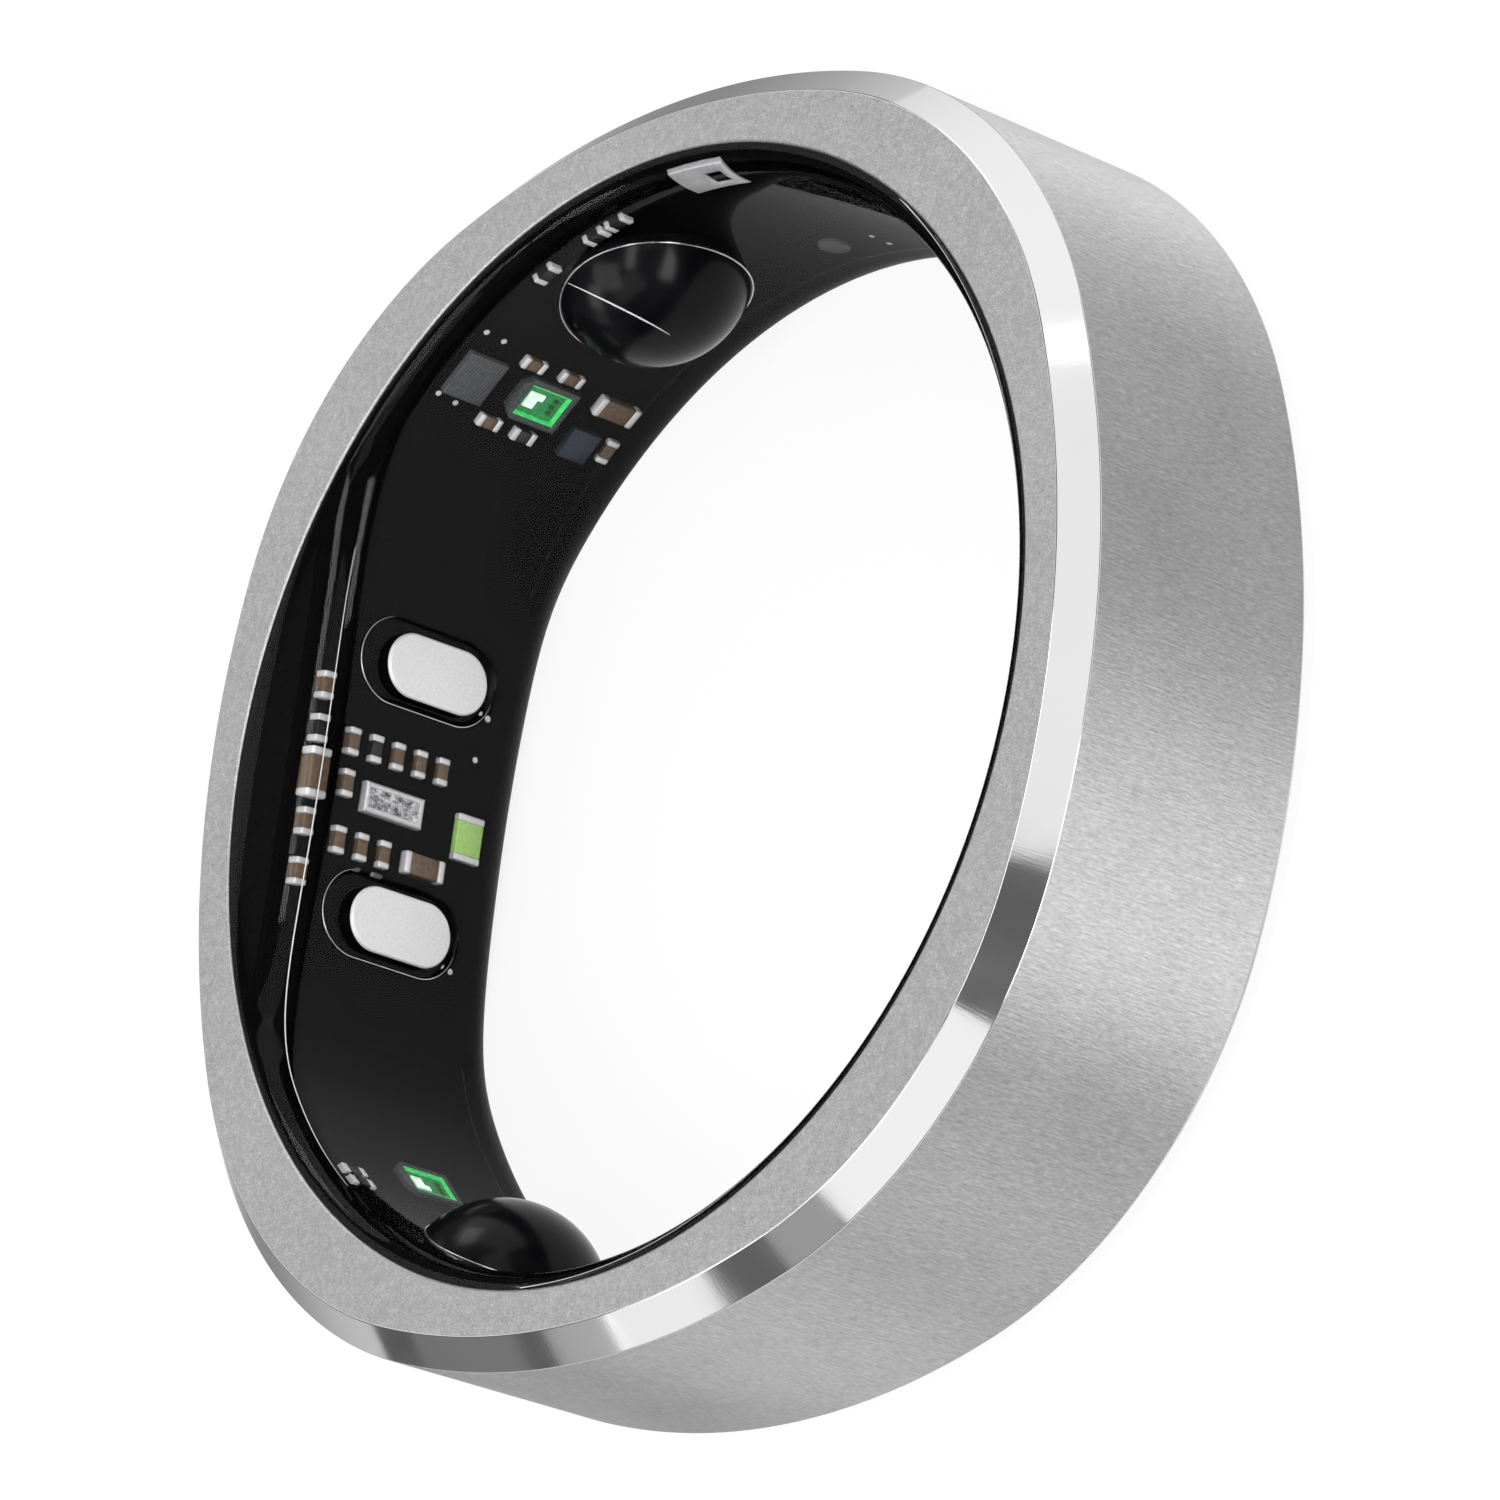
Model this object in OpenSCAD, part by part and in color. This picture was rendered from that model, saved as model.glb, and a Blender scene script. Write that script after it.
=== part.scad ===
// Smart ring: a rounded-square titanium band with a clear resin inner liner.
// The ring lies on one side face. Z is the ring's axis, and the origin is at
// the centre of the lower side face. The inner flat that carries the two
// charging contacts faces the axis from the -X side.

/* [Ring] */
// Width of the ring along its axis
ring_w = 6.8; // [6.6:0.1:7.6]

/* [Outer shell] */
// Radius of the round opening in each metal side face
shell_bore_r = 12; // [11.9:0.05:12.1]
// Thickness of the shell at the middle of each flat side
shell_t = 1.5; // [1.4:0.05:1.8]
// How much further than the flat sides the rounded corners reach
shell_bulge = 0.7; // [0.6:0.02:0.8]
// How much smaller the corner arcs' radius is than half the shell's width
corner_cut = 3.1; // [2.9:0.05:3.4]
// Turn of the shell's flats against the inner flat, in degrees
shell_turn = 6; // [0:1:12]
// Width of the polished chamfer, along the axis and along the face
chamfer_w = 0.6; // [0.4:0.05:0.8]
// Thinnest wall of the shell, at the middle of each flat
shell_wall_t = 0.55; // [0.45:0.05:0.65]
// Axial thickness of the two inward rims of the shell
rim_w = 0.85; // [0.75:0.05:0.95]
// Small break on the inner edge of each rim
edge_break = 0.08; // [0.04:0.01:0.12]

/* [Liner] */
// Thickness of the liner at its round wall
liner_t = 0.5; // [0.46:0.02:0.6]
// Height of the inner flat above the round wall
flat_rise = 1.45; // [1.3:0.05:1.6]
// Depth of the rounded lip of the liner along the axis
lip_depth = 0.8; // [0.6:0.05:0.9]
// Step of the liner below the metal side faces
liner_inset = 0.05; // [0.02:0.01:0.1]
// Width of the plain land round the outside of each lip
lip_land_w = 0.12; // [0.08:0.01:0.2]

/* [Sensor domes] */
// Angle of each dome from the middle of the inner flat
dome_angle = 67; // [64:0.5:70]
// Radius of a dome's round surface
dome_r = 2.23; // [2.1:0.01:2.25]
// Height of a dome above the round wall
dome_rise = 1.44; // [1:0.02:1.6]

/* [Charging contacts] */
// Length of a contact along the ring's axis
contact_l = 2.75; // [2.4:0.05:3]
// Width of a contact
contact_w = 1.42; // [1.2:0.02:1.6]
// Distance between the two contacts' centre lines
contact_span = 5.6; // [5.4:0.05:5.8]
// Height of a contact above the inner flat
contact_proud = 0.12; // [0.05:0.01:0.2]
// Depth of the dish round a contact
dish_depth = 0.15; // [0.1:0.01:0.18]
// Width of the dish round a contact
dish_w = 1.95; // [1.8:0.05:2]
// Length of the dish in front of a contact's end
dish_lead = 0.75; // [0.4:0.05:0.9]

/* [Circuit] */
// Thickness of the flexible circuit
flex_t = 0.15; // [0.1:0.01:0.16]
// Depth of the flexible circuit below the inner flat
flex_cover = 0.65; // [0.6:0.01:0.7]
// Angle of each light module from the middle of the inner flat
light_angle = 47.6; // [46:0.2:49]
// Width of a light module round the ring
light_w = 1.1; // [0.9:0.05:1.2]
// Length of a light module along the axis
light_l = 1.47; // [1.3:0.01:1.6]
// Height of a light module above the circuit
light_h = 0.4; // [0.3:0.01:0.42]
// Distance between the rows of small parts on the flat
row_pitch = 0.62; // [0.5:0.01:0.65]

/* [Battery] */
// Angle that the battery spans
battery_angle = 128; // [110:1:132]
// Side rounding of the battery pouch
battery_round = 0.22; // [0.1:0.01:0.3]

/* [Hidden] */
$fn = 96;

// Clearance between pieces that seat in one another
fit_gap = 0.02;
// Glue between the liner and the circuit
glue_gap = 2 * fit_gap;
// Overrun of a cut past the surface that it opens
cut_over = 0.5;
mid_z = ring_w / 2;

// Shell outline: four flat arcs and four corner arcs, tangent to each other
shell_half_w = shell_bore_r + shell_t;
shell_corner_r = shell_half_w - corner_cut;
side_in = corner_cut;
corner_off = side_in + shell_bulge;
side_off = (pow(corner_off, 2) - pow(side_in, 2)) / (2 * side_in - sqrt(2) * corner_off);
side_r = side_off + shell_half_w;
join_angle = atan2(corner_off * sin(45), corner_off * cos(45) + side_off);
cavity_r = shell_half_w - shell_wall_t;

// Finger opening: its round wall and its flat
finger_r = shell_bore_r - liner_t;
flat_dist = finger_r - flat_rise;

// Round stack, from the shell's bore outwards
liner_r = shell_bore_r - fit_gap;
flex_in_r = shell_bore_r + fit_gap;
flex_out_r = flex_in_r + flex_t;
pack_in_r = flex_out_r + fit_gap;
pack_out_r = cavity_r - fit_gap;

// Flat stack, from the inner flat outwards
flex_front_x = flat_dist + flex_cover;
flex_back_x = flex_front_x + flex_t;
pack_front_x = flex_back_x + fit_gap;

// Axial room of the pieces in the cavity and of those under the flat
cavity_z = rim_w;
edge_gap = 0.05;
strip_z = cavity_z + edge_gap;
strip_h = ring_w - 2 * strip_z;
// Depth of the wide stretch's edge below the side face
wide_z = 0.45;
wide_h = ring_w - 2 * wide_z;
wide_half = sqrt(pow(liner_r, 2) - pow(flex_back_x, 2)) - wide_z / 4;
seam_w = 1.2;
strip_edge = strip_h / 2;
wide_edge = wide_h / 2;

// Lip profile: steps of the quarter ellipse
lip_steps = 8;
// Reach of the flat's own lip past the liner's outer wall
lip_over = 0.2;
lip_b = lip_depth - liner_inset;
lip_top_r = liner_r - lip_land_w;

// Places of the contacts and their posts
contact_y = contact_span / 2;
contact_t = 0.47;
post_r = 0.3;
post_pitch = 1.3;
// Width of the dish beside and behind a contact
dish_side = (dish_w - contact_w) / 2;

// Small parts, by their trade sizes
cap_l = 0.6;
cap_w = 0.3;
cap_h = 0.3;
cap_end = 0.14;
bulk_l = 1.1;
bulk_w = 0.5;
bulk_h = 0.4;
bulk_end = 0.18;
cap_skin = 0.012;

// Columns on the inner flat, from its middle line
col_right_y = 0.87;
col_left_y = -1.3;
col_mid_y = -0.05;
front_cap_y = [1.9, -1.1, -2.2];
front_res_y = 0.95;
front_bulk_y = -0.03;

// Rows on the inner flat, each from the one in front of it
front_row = wide_edge - bulk_w / 2 - 0.4 * bulk_w;
row_gap = 0.38;
row_top = front_row - bulk_w / 2 - cap_w / 2 - row_gap;
bulk_low_up = row_top - 2 * row_pitch - cap_w / 2 - bulk_l / 2 - row_gap;
motion_w = 0.67;
motion_l = 1.62;
motion_h = 0.34;
motion_y = -0.2;
motion_gap = 0.32;
motion_up = row_top - cap_w / 2 - motion_gap - motion_l / 2;
fuse_l = 1.03;
fuse_w = 0.72;
fuse_h = 0.3;
fuse_end = 0.16;
fuse_y = -0.38;
// Place of the fuse, between the motion sensor and the lower edge
fuse_share = 0.53;
fuse_near = motion_l / 2 - motion_up + fuse_w / 2 + fit_gap;
fuse_down = between(fuse_near, wide_edge - fuse_w / 2 - fit_gap, fuse_share);

// Places round a light module: [round the ring, along the axis]
light_wall = 0.14;
light_floor = 0.12;
light_cut = 0.22;
die_w = 0.4;
die_h = 0.1;
die_up = 0.16;
die_notch = 0.12;
chiplet_w = 0.1;
chiplet_pitch = 0.16;
chiplet_down = 0.36;
front_end_w = 1.14;
front_end_l = 1.03;
front_end_h = 0.32;
front_end_share = 0.79;
front_end_up = between(light_l / 2 + front_end_l / 2 + fit_gap, strip_edge - front_end_l / 2 - fit_gap,
  front_end_share);
power_w = 0.76;
power_h = 0.3;
power_share = 0.7;
power_down = between(light_l / 2 + power_w / 2 + 2 * fit_gap, strip_edge - cap_w - power_w / 2 - 3 * fit_gap,
  power_share);
power_at = [-0.63, -power_down];
side_cap_at = [[0.83, 0.77], [0.83, -0.29], [-0.88, 0.79]];
side_res_at = [-0.9, -0.19];
side_bulk_share = 0.82;
side_bulk_at = [0.5, -between(light_l / 2 + bulk_l / 2 + fit_gap, strip_edge - bulk_l / 2 - fit_gap,
  side_bulk_share)];
edge_cap_at = [-0.52, fit_gap + cap_w / 2 - strip_edge];
lower_res_y = [0.34, 0.78];
lower_res_up = strip_edge - cap_l / 2 - edge_gap;

// Row of resistors in front of the upper dome, clear of its ball on both sides
dome_row_up = strip_edge - cap_w / 2 - fit_gap;
dome_row_clear = sqrt(pow(dome_r, 2) - pow(dome_row_up - cap_w / 2, 2)) + cap_l / 2 + edge_gap;
dome_row_pitch = 0.7;
dome_row_at = [-dome_row_clear, dome_row_clear, dome_row_clear + dome_row_pitch];

photo_w = 1.2;
photo_h = 0.25;

therm_r = 0.35;
therm_angle = 86.3;
therm_margin = 0.6;
therm_down = strip_edge - therm_r - therm_margin;
therm_in = 0.32;

clip_angle = 89.5;
clip_w = 1.7;
clip_l = 0.8;
clip_t = 0.12;
clip_margin = 0.45;
clip_up = mid_z - clip_margin - clip_l / 2;
clip_hole_w = 0.5;
clip_hole_l = 0.34;
clip_hole_off = 0.3;

// Test points on the circuit
point_r = 0.065;
point_h = 1.5 * fit_gap;
point_flat = [[2.37, -1.86], [1.4, -1.68], [-2.26, -1.74], [-3.28, -1.83]];
point_light = [[1.12, 0.48], [1.06, -0.05], [-0.7, 0.47], [-0.77, -0.05]];
point_angle = 92;
point_drop = [0.95, 0.45];

// Parts on the outer side of the circuit, behind the inner flat
processor_w = 2.6;
processor_h = 0.5;
charger_w = 1.6;
charger_h = 0.45;
back_y = 2.9;
memory_w = 1.5;
inductor_l = 1.6;
inductor_h = 0.8;
crystal_w = 1.2;
crystal_l = 0.9;
crystal_h = 0.35;
crystal_up = wide_edge - crystal_l / 2 - wide_z;
// Clear space above and below the processor
processor_gap = 0.3;
processor_l = 2 * (crystal_up - crystal_l / 2 - processor_gap);

tab_w = 0.9;
tab_t = 0.1;
tab_up = 1.3;
tab_angle = 13;
carrier_angle = 80;

// Value a share of the way from one value to another
function between(low, high, share) = low + share * (high - low);

// Angle at the axis of a length along the round circuit
function turn_of(length) = length / (PI * flex_in_r) * 180;

// Distance from the axis to a flat base of width w inside radius r
function seat(r, w) = sqrt(pow(r, 2) - pow(w / 2, 2));

// Quarter ellipse from the bore wall out to the lip's land, as [outward, down]
function lip_curve(a, b) = [for (i = [0:lip_steps]) let (q = 90 * i / lip_steps)
  [a * (1 - cos(q)), b * (1 - sin(q))]];

// Solid of radius or reach c whose mouth widens at both side faces
module mouth_profile(c, top) {
  up = lip_curve(top - c, lip_b);
  z1 = ring_w - liner_inset;
  z0 = liner_inset;
  polygon(concat(
    [[0, z0 - cut_over], [top, z0 - cut_over]],
    [for (i = [lip_steps:-1:0]) [c + up[i][0], z0 + up[i][1]]],
    [for (i = [0:lip_steps]) [c + up[i][0], z1 - up[i][1]]],
    [[top, z1 + cut_over], [0, z1 + cut_over]]));
}

// The finger opening: a round opening with one flat side, and both its lips
module finger_opening() {
  intersection() {
    rotate_extrude() mouth_profile(finger_r, lip_top_r);
    union() {
      rotate([90, 0, 0])
        linear_extrude(2 * liner_r, center = true) mirror([1, 0])
          mouth_profile(flat_dist, liner_r + lip_over);
      translate([-cut_over, -liner_r, -cut_over])
        cube([liner_r + 2 * cut_over, 2 * liner_r, ring_w + 2 * cut_over]);
    }
  }
}

// Upright pill outline, l long along X and w wide
module pill(l, w) {
  square([l - w, w], center = true);
  for (s = [-1, 1]) translate([s * (l - w) / 2, 0]) circle(d = w);
}

// Frame of a part on the flat: X down the axis, Y round the ring, Z inwards
module on_flat(y, up) {
  translate([-flex_front_x, y, mid_z + up]) rotate([0, 90, 0]) children();
}

// Frame of a part on the flat's outer side: Z outwards
module behind_flat(y, up) {
  translate([-pack_front_x, y, mid_z + up]) rotate([0, -90, 0]) children();
}

// Frame of a part on the round circuit: X up the axis, Y round the ring, Z inwards
module on_round(turn, up, w) {
  rotate([0, 0, 180 - turn]) translate([seat(flex_in_r, w), 0, mid_z + up])
    rotate([0, -90, 0]) children();
}

// Frame beside a light module: side 1 is the upper one, side -1 the lower one
module by_light(side, at, w) {
  on_round(side * (light_angle + turn_of(at[0])), at[1], w) children();
}

// Block that stands on the circuit, l along X and w along Y
module block(l, w, h) {
  translate([-l / 2, -w / 2, 0]) cube([l, w, h]);
}

// Ceramic of a chip part, between its two metal ends
module chip_body(l, w, h, end) {
  block(l - 2 * end, w - 2 * cap_skin, h - cap_skin);
}

// The two metal ends of a chip part
module chip_ends(l, w, h, end) {
  for (s = [-1, 1]) translate([s * (l - end) / 2, 0, 0]) block(end, w, h);
}

// Places of every small capacitor
module at_small_capacitors() {
  for (i = [0, 2, 3, 4]) on_flat(col_right_y, row_top - i * row_pitch) rotate([0, 0, 90]) children();
  for (i = [0, 1, 2]) on_flat(col_left_y, row_top - i * row_pitch) rotate([0, 0, 90]) children();
  on_flat(col_mid_y, row_top) rotate([0, 0, 90]) children();
  for (y = front_cap_y) on_flat(y, front_row) rotate([0, 0, 90]) children();
  for (at = side_cap_at) by_light(1, at, cap_w) children();
  by_light(1, edge_cap_at, cap_l) rotate([0, 0, 90]) children();
}

// Places of every resistor
module at_resistors() {
  on_flat(col_right_y, row_top - row_pitch) rotate([0, 0, 90]) children();
  on_flat(front_res_y, front_row) rotate([0, 0, 90]) children();
  by_light(1, side_res_at, cap_w) children();
  for (y = lower_res_y) by_light(-1, [y, lower_res_up], cap_w) children();
  for (y = dome_row_at) on_round(dome_angle + turn_of(y), dome_row_up, cap_l) rotate([0, 0, 90]) children();
}

// Places of every large capacitor
module at_large_capacitors() {
  on_flat(col_left_y, bulk_low_up) children();
  on_flat(front_bulk_y, front_row) rotate([0, 0, 90]) children();
  by_light(1, side_bulk_at, bulk_w) children();
}

// One flat side of the shell as a full chamfered disc, its centre far off the axis
module side_disc(turn) {
  r = side_r;
  c = chamfer_w;
  rotate([0, 0, turn]) translate([-side_off, 0, 0]) rotate_extrude()
    polygon([[0, 0], [r - c, 0], [r, c], [r, ring_w - c], [r - c, ring_w], [0, ring_w]]);
}

// What a rounded corner leaves off: all that lies outside its chamfered arc
module corner_trim(turn) {
  r = shell_corner_r;
  c = chamfer_w;
  out = r + corner_off;
  low = -cut_over;
  high = ring_w + cut_over;
  rotate([0, 0, turn]) translate([corner_off, 0, 0]) rotate([0, 0, join_angle - 45])
    rotate_extrude(angle = 90 - 2 * join_angle) polygon([[r - c, low], [r - c, 0], [r, c],
      [r, ring_w - c], [r - c, ring_w], [r - c, high], [out, high], [out, low]]);
}

// The feature of most skill: the rounded-square band with its even chamfers
module shell_band() {
  difference() {
    intersection() {
      side_disc(shell_turn);
      side_disc(90 + shell_turn);
      side_disc(180 + shell_turn);
      side_disc(270 + shell_turn);
    }
    for (q = [0:3]) corner_trim(90 * q + 45 + shell_turn);
  }
}

module outer_shell() {
  e = edge_break;
  color("silver") difference() {
    shell_band();
    translate([0, 0, -cut_over]) cylinder(r = shell_bore_r, h = ring_w + 2 * cut_over);
    translate([0, 0, cavity_z]) cylinder(r = cavity_r, h = ring_w - 2 * cavity_z);
    for (s = [0, 1]) mirror([0, 0, s]) translate([0, 0, -s * ring_w])
      translate([0, 0, -e]) cylinder(r1 = shell_bore_r + 2 * e, r2 = shell_bore_r, h = 2 * e);
  }
}

// Room for the circuit and the carrier behind the inner flat
module flat_room(gap) {
  translate([-2 * liner_r - flex_front_x + gap, -liner_r, wide_z - gap])
    cube([2 * liner_r, 2 * liner_r, wide_h + 2 * gap]);
}

// Ball whose inner part is a dome; grown, it is the dome's seat in the liner
module dome_ball(side, grow) {
  rotate([0, 0, 180 - side * dome_angle]) translate([finger_r - dome_rise + dome_r, 0, mid_z])
    sphere(r = dome_r + grow);
}

module contact_outline(side, grow) {
  translate([0, side * contact_y, mid_z]) rotate([0, 90, 0]) linear_extrude(contact_t)
    pill(contact_l + 2 * grow, contact_w + 2 * grow);
}

// Room for a part of this size, with its clearance
module pocket(l, w, h) {
  g = fit_gap;
  translate([0, 0, -g]) block(l + 2 * g, w + 2 * g, h + 2 * g);
}

module liner_pockets() {
  at_small_capacitors() pocket(cap_l, cap_w, cap_h);
  at_resistors() pocket(cap_l, cap_w, cap_h);
  at_large_capacitors() pocket(bulk_l, bulk_w, bulk_h);
  on_flat(motion_y, motion_up) pocket(motion_l, motion_w, motion_h);
  on_flat(fuse_y, -fuse_down) pocket(fuse_w, fuse_l, fuse_h);
  for (s = [-1, 1]) by_light(s, [0, 0], light_w) pocket(light_l, light_w, light_h);
  by_light(1, [0, front_end_up], front_end_w) pocket(front_end_l, front_end_w, front_end_h);
  by_light(1, power_at, power_w) pocket(power_w, power_w, power_h);
}

module inner_liner() {
  color([0.2, 0.2, 0.22, 0.5]) difference() {
    translate([0, 0, liner_inset]) cylinder(r = liner_r, h = ring_w - 2 * liner_inset);
    finger_opening();
    flat_room(glue_gap);
    for (s = [-1, 1]) {
      dome_ball(s, fit_gap);
      translate([-flat_dist - dish_depth, s * contact_y, mid_z + (dish_lead - dish_side) / 2])
        rotate([0, 90, 0]) linear_extrude(dish_depth + cut_over)
          pill(contact_l + dish_lead + dish_side, dish_w);
      translate([-flex_front_x, 0, 0]) contact_outline(s, fit_gap);
      translate([-flat_dist - contact_t, 0, 0]) contact_outline(s, fit_gap);
    }
    liner_pockets();
    rotate([0, 0, 180 - therm_angle]) translate([liner_r + cut_over, 0, mid_z - therm_down])
      rotate([0, -90, 0]) cylinder(r = therm_r + fit_gap, h = cut_over + therm_in);
    clip_band(fit_gap);
  }
}

// Sensor dome: the part of a ball inside the circuit, with a well for its photodiode
module sensor_dome(side) {
  foot = seat(flex_in_r, 2 * dome_r);
  well_w = photo_w + 2 * fit_gap;
  well_x = seat(flex_in_r, photo_w) - photo_h - fit_gap;
  difference() {
    dome_ball(side, 0);
    rotate([0, 0, 180 - side * dome_angle]) {
      translate([foot, -2 * dome_r, mid_z - 2 * dome_r]) cube([3 * dome_r, 4 * dome_r, 4 * dome_r]);
      translate([well_x, -well_w / 2, mid_z - well_w / 2]) cube([dome_r, well_w, well_w]);
    }
  }
}

module sensor_dome_upper() { color([0.05, 0.05, 0.06]) sensor_dome(1); }
module sensor_dome_lower() { color([0.05, 0.05, 0.06]) sensor_dome(-1); }

// Charging contact: a pill-shaped head on two posts
module charge_contact(side) {
  color("gainsboro") {
    translate([-flat_dist + contact_proud - contact_t, 0, 0]) contact_outline(side, 0);
    for (s = [-1, 1]) translate([-flex_front_x, side * contact_y, mid_z + s * post_pitch / 2])
      rotate([0, 90, 0]) cylinder(r = post_r, h = flex_cover - contact_t + contact_proud + fit_gap);
  }
}

module charge_contact_upper() { charge_contact(1); }
module charge_contact_lower() { charge_contact(-1); }

// Outline between the round wall of radius r and the flat at distance x
module flat_round(r, x) {
  intersection() {
    circle(r = r);
    translate([-x, -r]) square([r + x, 2 * r]);
  }
}

// Flexible circuit: one strip round the bore, wider behind the flat
module flex_circuit() {
  color([0.06, 0.06, 0.07]) {
    translate([0, 0, strip_z]) linear_extrude(strip_h) difference() {
      flat_round(flex_out_r, flex_back_x);
      flat_round(flex_in_r, flex_front_x);
      translate([0, -seam_w / 2]) square([flex_out_r + cut_over, seam_w]);
    }
    translate([-flex_back_x, -wide_half, wide_z]) cube([flex_t, 2 * wide_half, wide_h]);
  }
}

// Sector of a ring between two radii, from angle a over angle span
module ring_sector(r1, r2, h, a, span) {
  rotate([0, 0, a]) rotate_extrude(angle = span) translate([r1, 0]) square([r2 - r1, h]);
}

// Room in the carrier for the parts on the circuit's outer side
module back_pockets() {
  behind_flat(0, 0) pocket(processor_l, processor_w, processor_h);
  behind_flat(back_y, 0) pocket(charger_w, charger_w, charger_h);
  behind_flat(-back_y, 0) pocket(inductor_l, inductor_l, inductor_h);
  behind_flat(0, crystal_up) pocket(crystal_l, crystal_w, crystal_h);
  behind_flat(0, -crystal_up - fit_gap) pocket(crystal_l, memory_w, charger_h);
}

// Black carrier behind the circuit, from one end of the battery to the other
module carrier_frame() {
  color([0.1, 0.1, 0.1]) difference() {
    union() {
      intersection() {
        translate([0, 0, strip_z]) linear_extrude(strip_h) difference() {
          circle(r = pack_out_r);
          flat_round(pack_in_r, pack_front_x);
        }
        ring_sector(flat_dist, pack_out_r + cut_over, ring_w, carrier_angle, 360 - 2 * carrier_angle);
      }
      translate([0, 0, wide_z]) linear_extrude(wide_h) difference() {
        circle(r = liner_r - fit_gap);
        translate([-pack_front_x, -liner_r]) square([2 * liner_r, 2 * liner_r]);
      }
    }
    back_pockets();
  }
}

// Curved lithium cell behind the circuit, opposite the inner flat
module battery_cell() {
  b = battery_round;
  w = pack_out_r - pack_in_r;
  color("lightsteelblue") rotate([0, 0, -battery_angle / 2]) rotate_extrude(angle = battery_angle)
    translate([pack_in_r, strip_z]) {
      translate([b, 0]) square([w - 2 * b, strip_h]);
      translate([0, b]) square([w, strip_h - 2 * b]);
      for (x = [b, w - b]) for (z = [b, strip_h - b]) translate([x, z]) circle(r = b);
    }
}

// Two welded tabs from the cell's end to the circuit
module battery_tabs() {
  start = battery_angle / 2;
  color("gold") for (s = [-1, 1]) translate([0, 0, mid_z + s * tab_up - tab_w / 2])
    ring_sector(pack_in_r, pack_in_r + tab_t, tab_w, start, tab_angle);
}

// Housing of a light module: an open box with two cut corners
module light_housing(side) {
  c = light_cut;
  l = light_l / 2;
  w = light_w / 2;
  t = light_wall;
  color("darkslategray") by_light(side, [0, 0], light_w) difference() {
    linear_extrude(light_h)
      polygon([[-l, -w], [l - c, -w], [l, -w + c], [l, w - c], [l - c, w], [-l, w]]);
    translate([0, 0, light_floor]) linear_extrude(light_h)
      polygon([[-l + t, -w + t], [l - c, -w + t], [l - c, w - t], [-l + t, w - t]]);
  }
}

module light_housing_upper() { light_housing(1); }
module light_housing_lower() { light_housing(-1); }

// Emitter dies on the floor of a light module
module light_chips(side) {
  color("lightgreen") by_light(side, [0, 0], light_w) translate([0, 0, light_floor]) {
    difference() {
      translate([die_up, 0, 0]) block(die_w, die_w, die_h);
      translate([die_up - die_w / 2 - die_notch, side * (die_w / 2 - die_notch) - die_notch, -die_h])
        cube([2 * die_notch, 2 * die_notch, 3 * die_h]);
    }
    for (i = [-1, 0, 1]) translate([-chiplet_down, i * chiplet_pitch, 0])
      block(chiplet_w, chiplet_w, die_h);
  }
}

module light_chips_upper() { light_chips(1); }
module light_chips_lower() { light_chips(-1); }

module photodiode(side) {
  color("midnightblue") on_round(side * dome_angle, 0, photo_w) block(photo_w, photo_w, photo_h);
}

module photodiode_upper() { photodiode(1); }
module photodiode_lower() { photodiode(-1); }

module sensor_front_end() {
  color("gray") by_light(1, [0, front_end_up], front_end_w) block(front_end_l, front_end_w, front_end_h);
}

module power_chip() {
  color([0.12, 0.16, 0.24]) by_light(1, power_at, power_w) block(power_w, power_w, power_h);
}

module motion_sensor() {
  color("silver") on_flat(motion_y, motion_up) block(motion_l, motion_w, motion_h);
}

module charge_fuse() {
  color("yellowgreen") on_flat(fuse_y, -fuse_down) rotate([0, 0, 90])
    chip_body(fuse_l, fuse_w, fuse_h, fuse_end);
}

module charge_fuse_ends() {
  color("white") on_flat(fuse_y, -fuse_down) rotate([0, 0, 90])
    chip_ends(fuse_l, fuse_w, fuse_h, fuse_end);
}

module small_capacitors() {
  color("sienna") at_small_capacitors() chip_body(cap_l, cap_w, cap_h, cap_end);
}

module small_capacitor_ends() {
  color("white") at_small_capacitors() chip_ends(cap_l, cap_w, cap_h, cap_end);
}

module large_capacitors() {
  color("sienna") at_large_capacitors() chip_body(bulk_l, bulk_w, bulk_h, bulk_end);
}

module large_capacitor_ends() {
  color("white") at_large_capacitors() chip_ends(bulk_l, bulk_w, bulk_h, bulk_end);
}

module resistors() {
  color([0.08, 0.08, 0.08]) at_resistors() chip_body(cap_l, cap_w, cap_h, cap_end);
}

module resistor_ends() {
  color("white") at_resistors() chip_ends(cap_l, cap_w, cap_h, cap_end);
}

// Round skin thermometer that looks out through the liner
module skin_thermometer() {
  color("dimgray") rotate([0, 0, 180 - therm_angle])
    translate([seat(flex_in_r, 2 * therm_r), 0, mid_z - therm_down]) rotate([0, -90, 0])
      cylinder(r = therm_r, h = therm_in - fit_gap);
}

// Band of the liner's outer wall that holds the antenna clip
module clip_band(gap) {
  half = clip_w / 2 / liner_r * 180 / PI;
  swell = gap / liner_r * 180 / PI;
  translate([0, 0, mid_z + clip_up - clip_l / 2 - gap])
    ring_sector(liner_r - fit_gap - clip_t - gap, liner_r - fit_gap + 2 * gap, clip_l + 2 * gap,
      180 - clip_angle - half - swell, 2 * (half + swell));
}

// Curved metal clip of the antenna, with one rectangular window
module antenna_clip() {
  color("silver") difference() {
    clip_band(0);
    rotate([0, 0, 180 - clip_angle]) translate([liner_r - clip_t - cut_over, -clip_hole_off - clip_hole_w / 2,
      mid_z + clip_up - clip_hole_l / 2]) cube([clip_t + 2 * cut_over, clip_hole_w, clip_hole_l]);
  }
}

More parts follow.
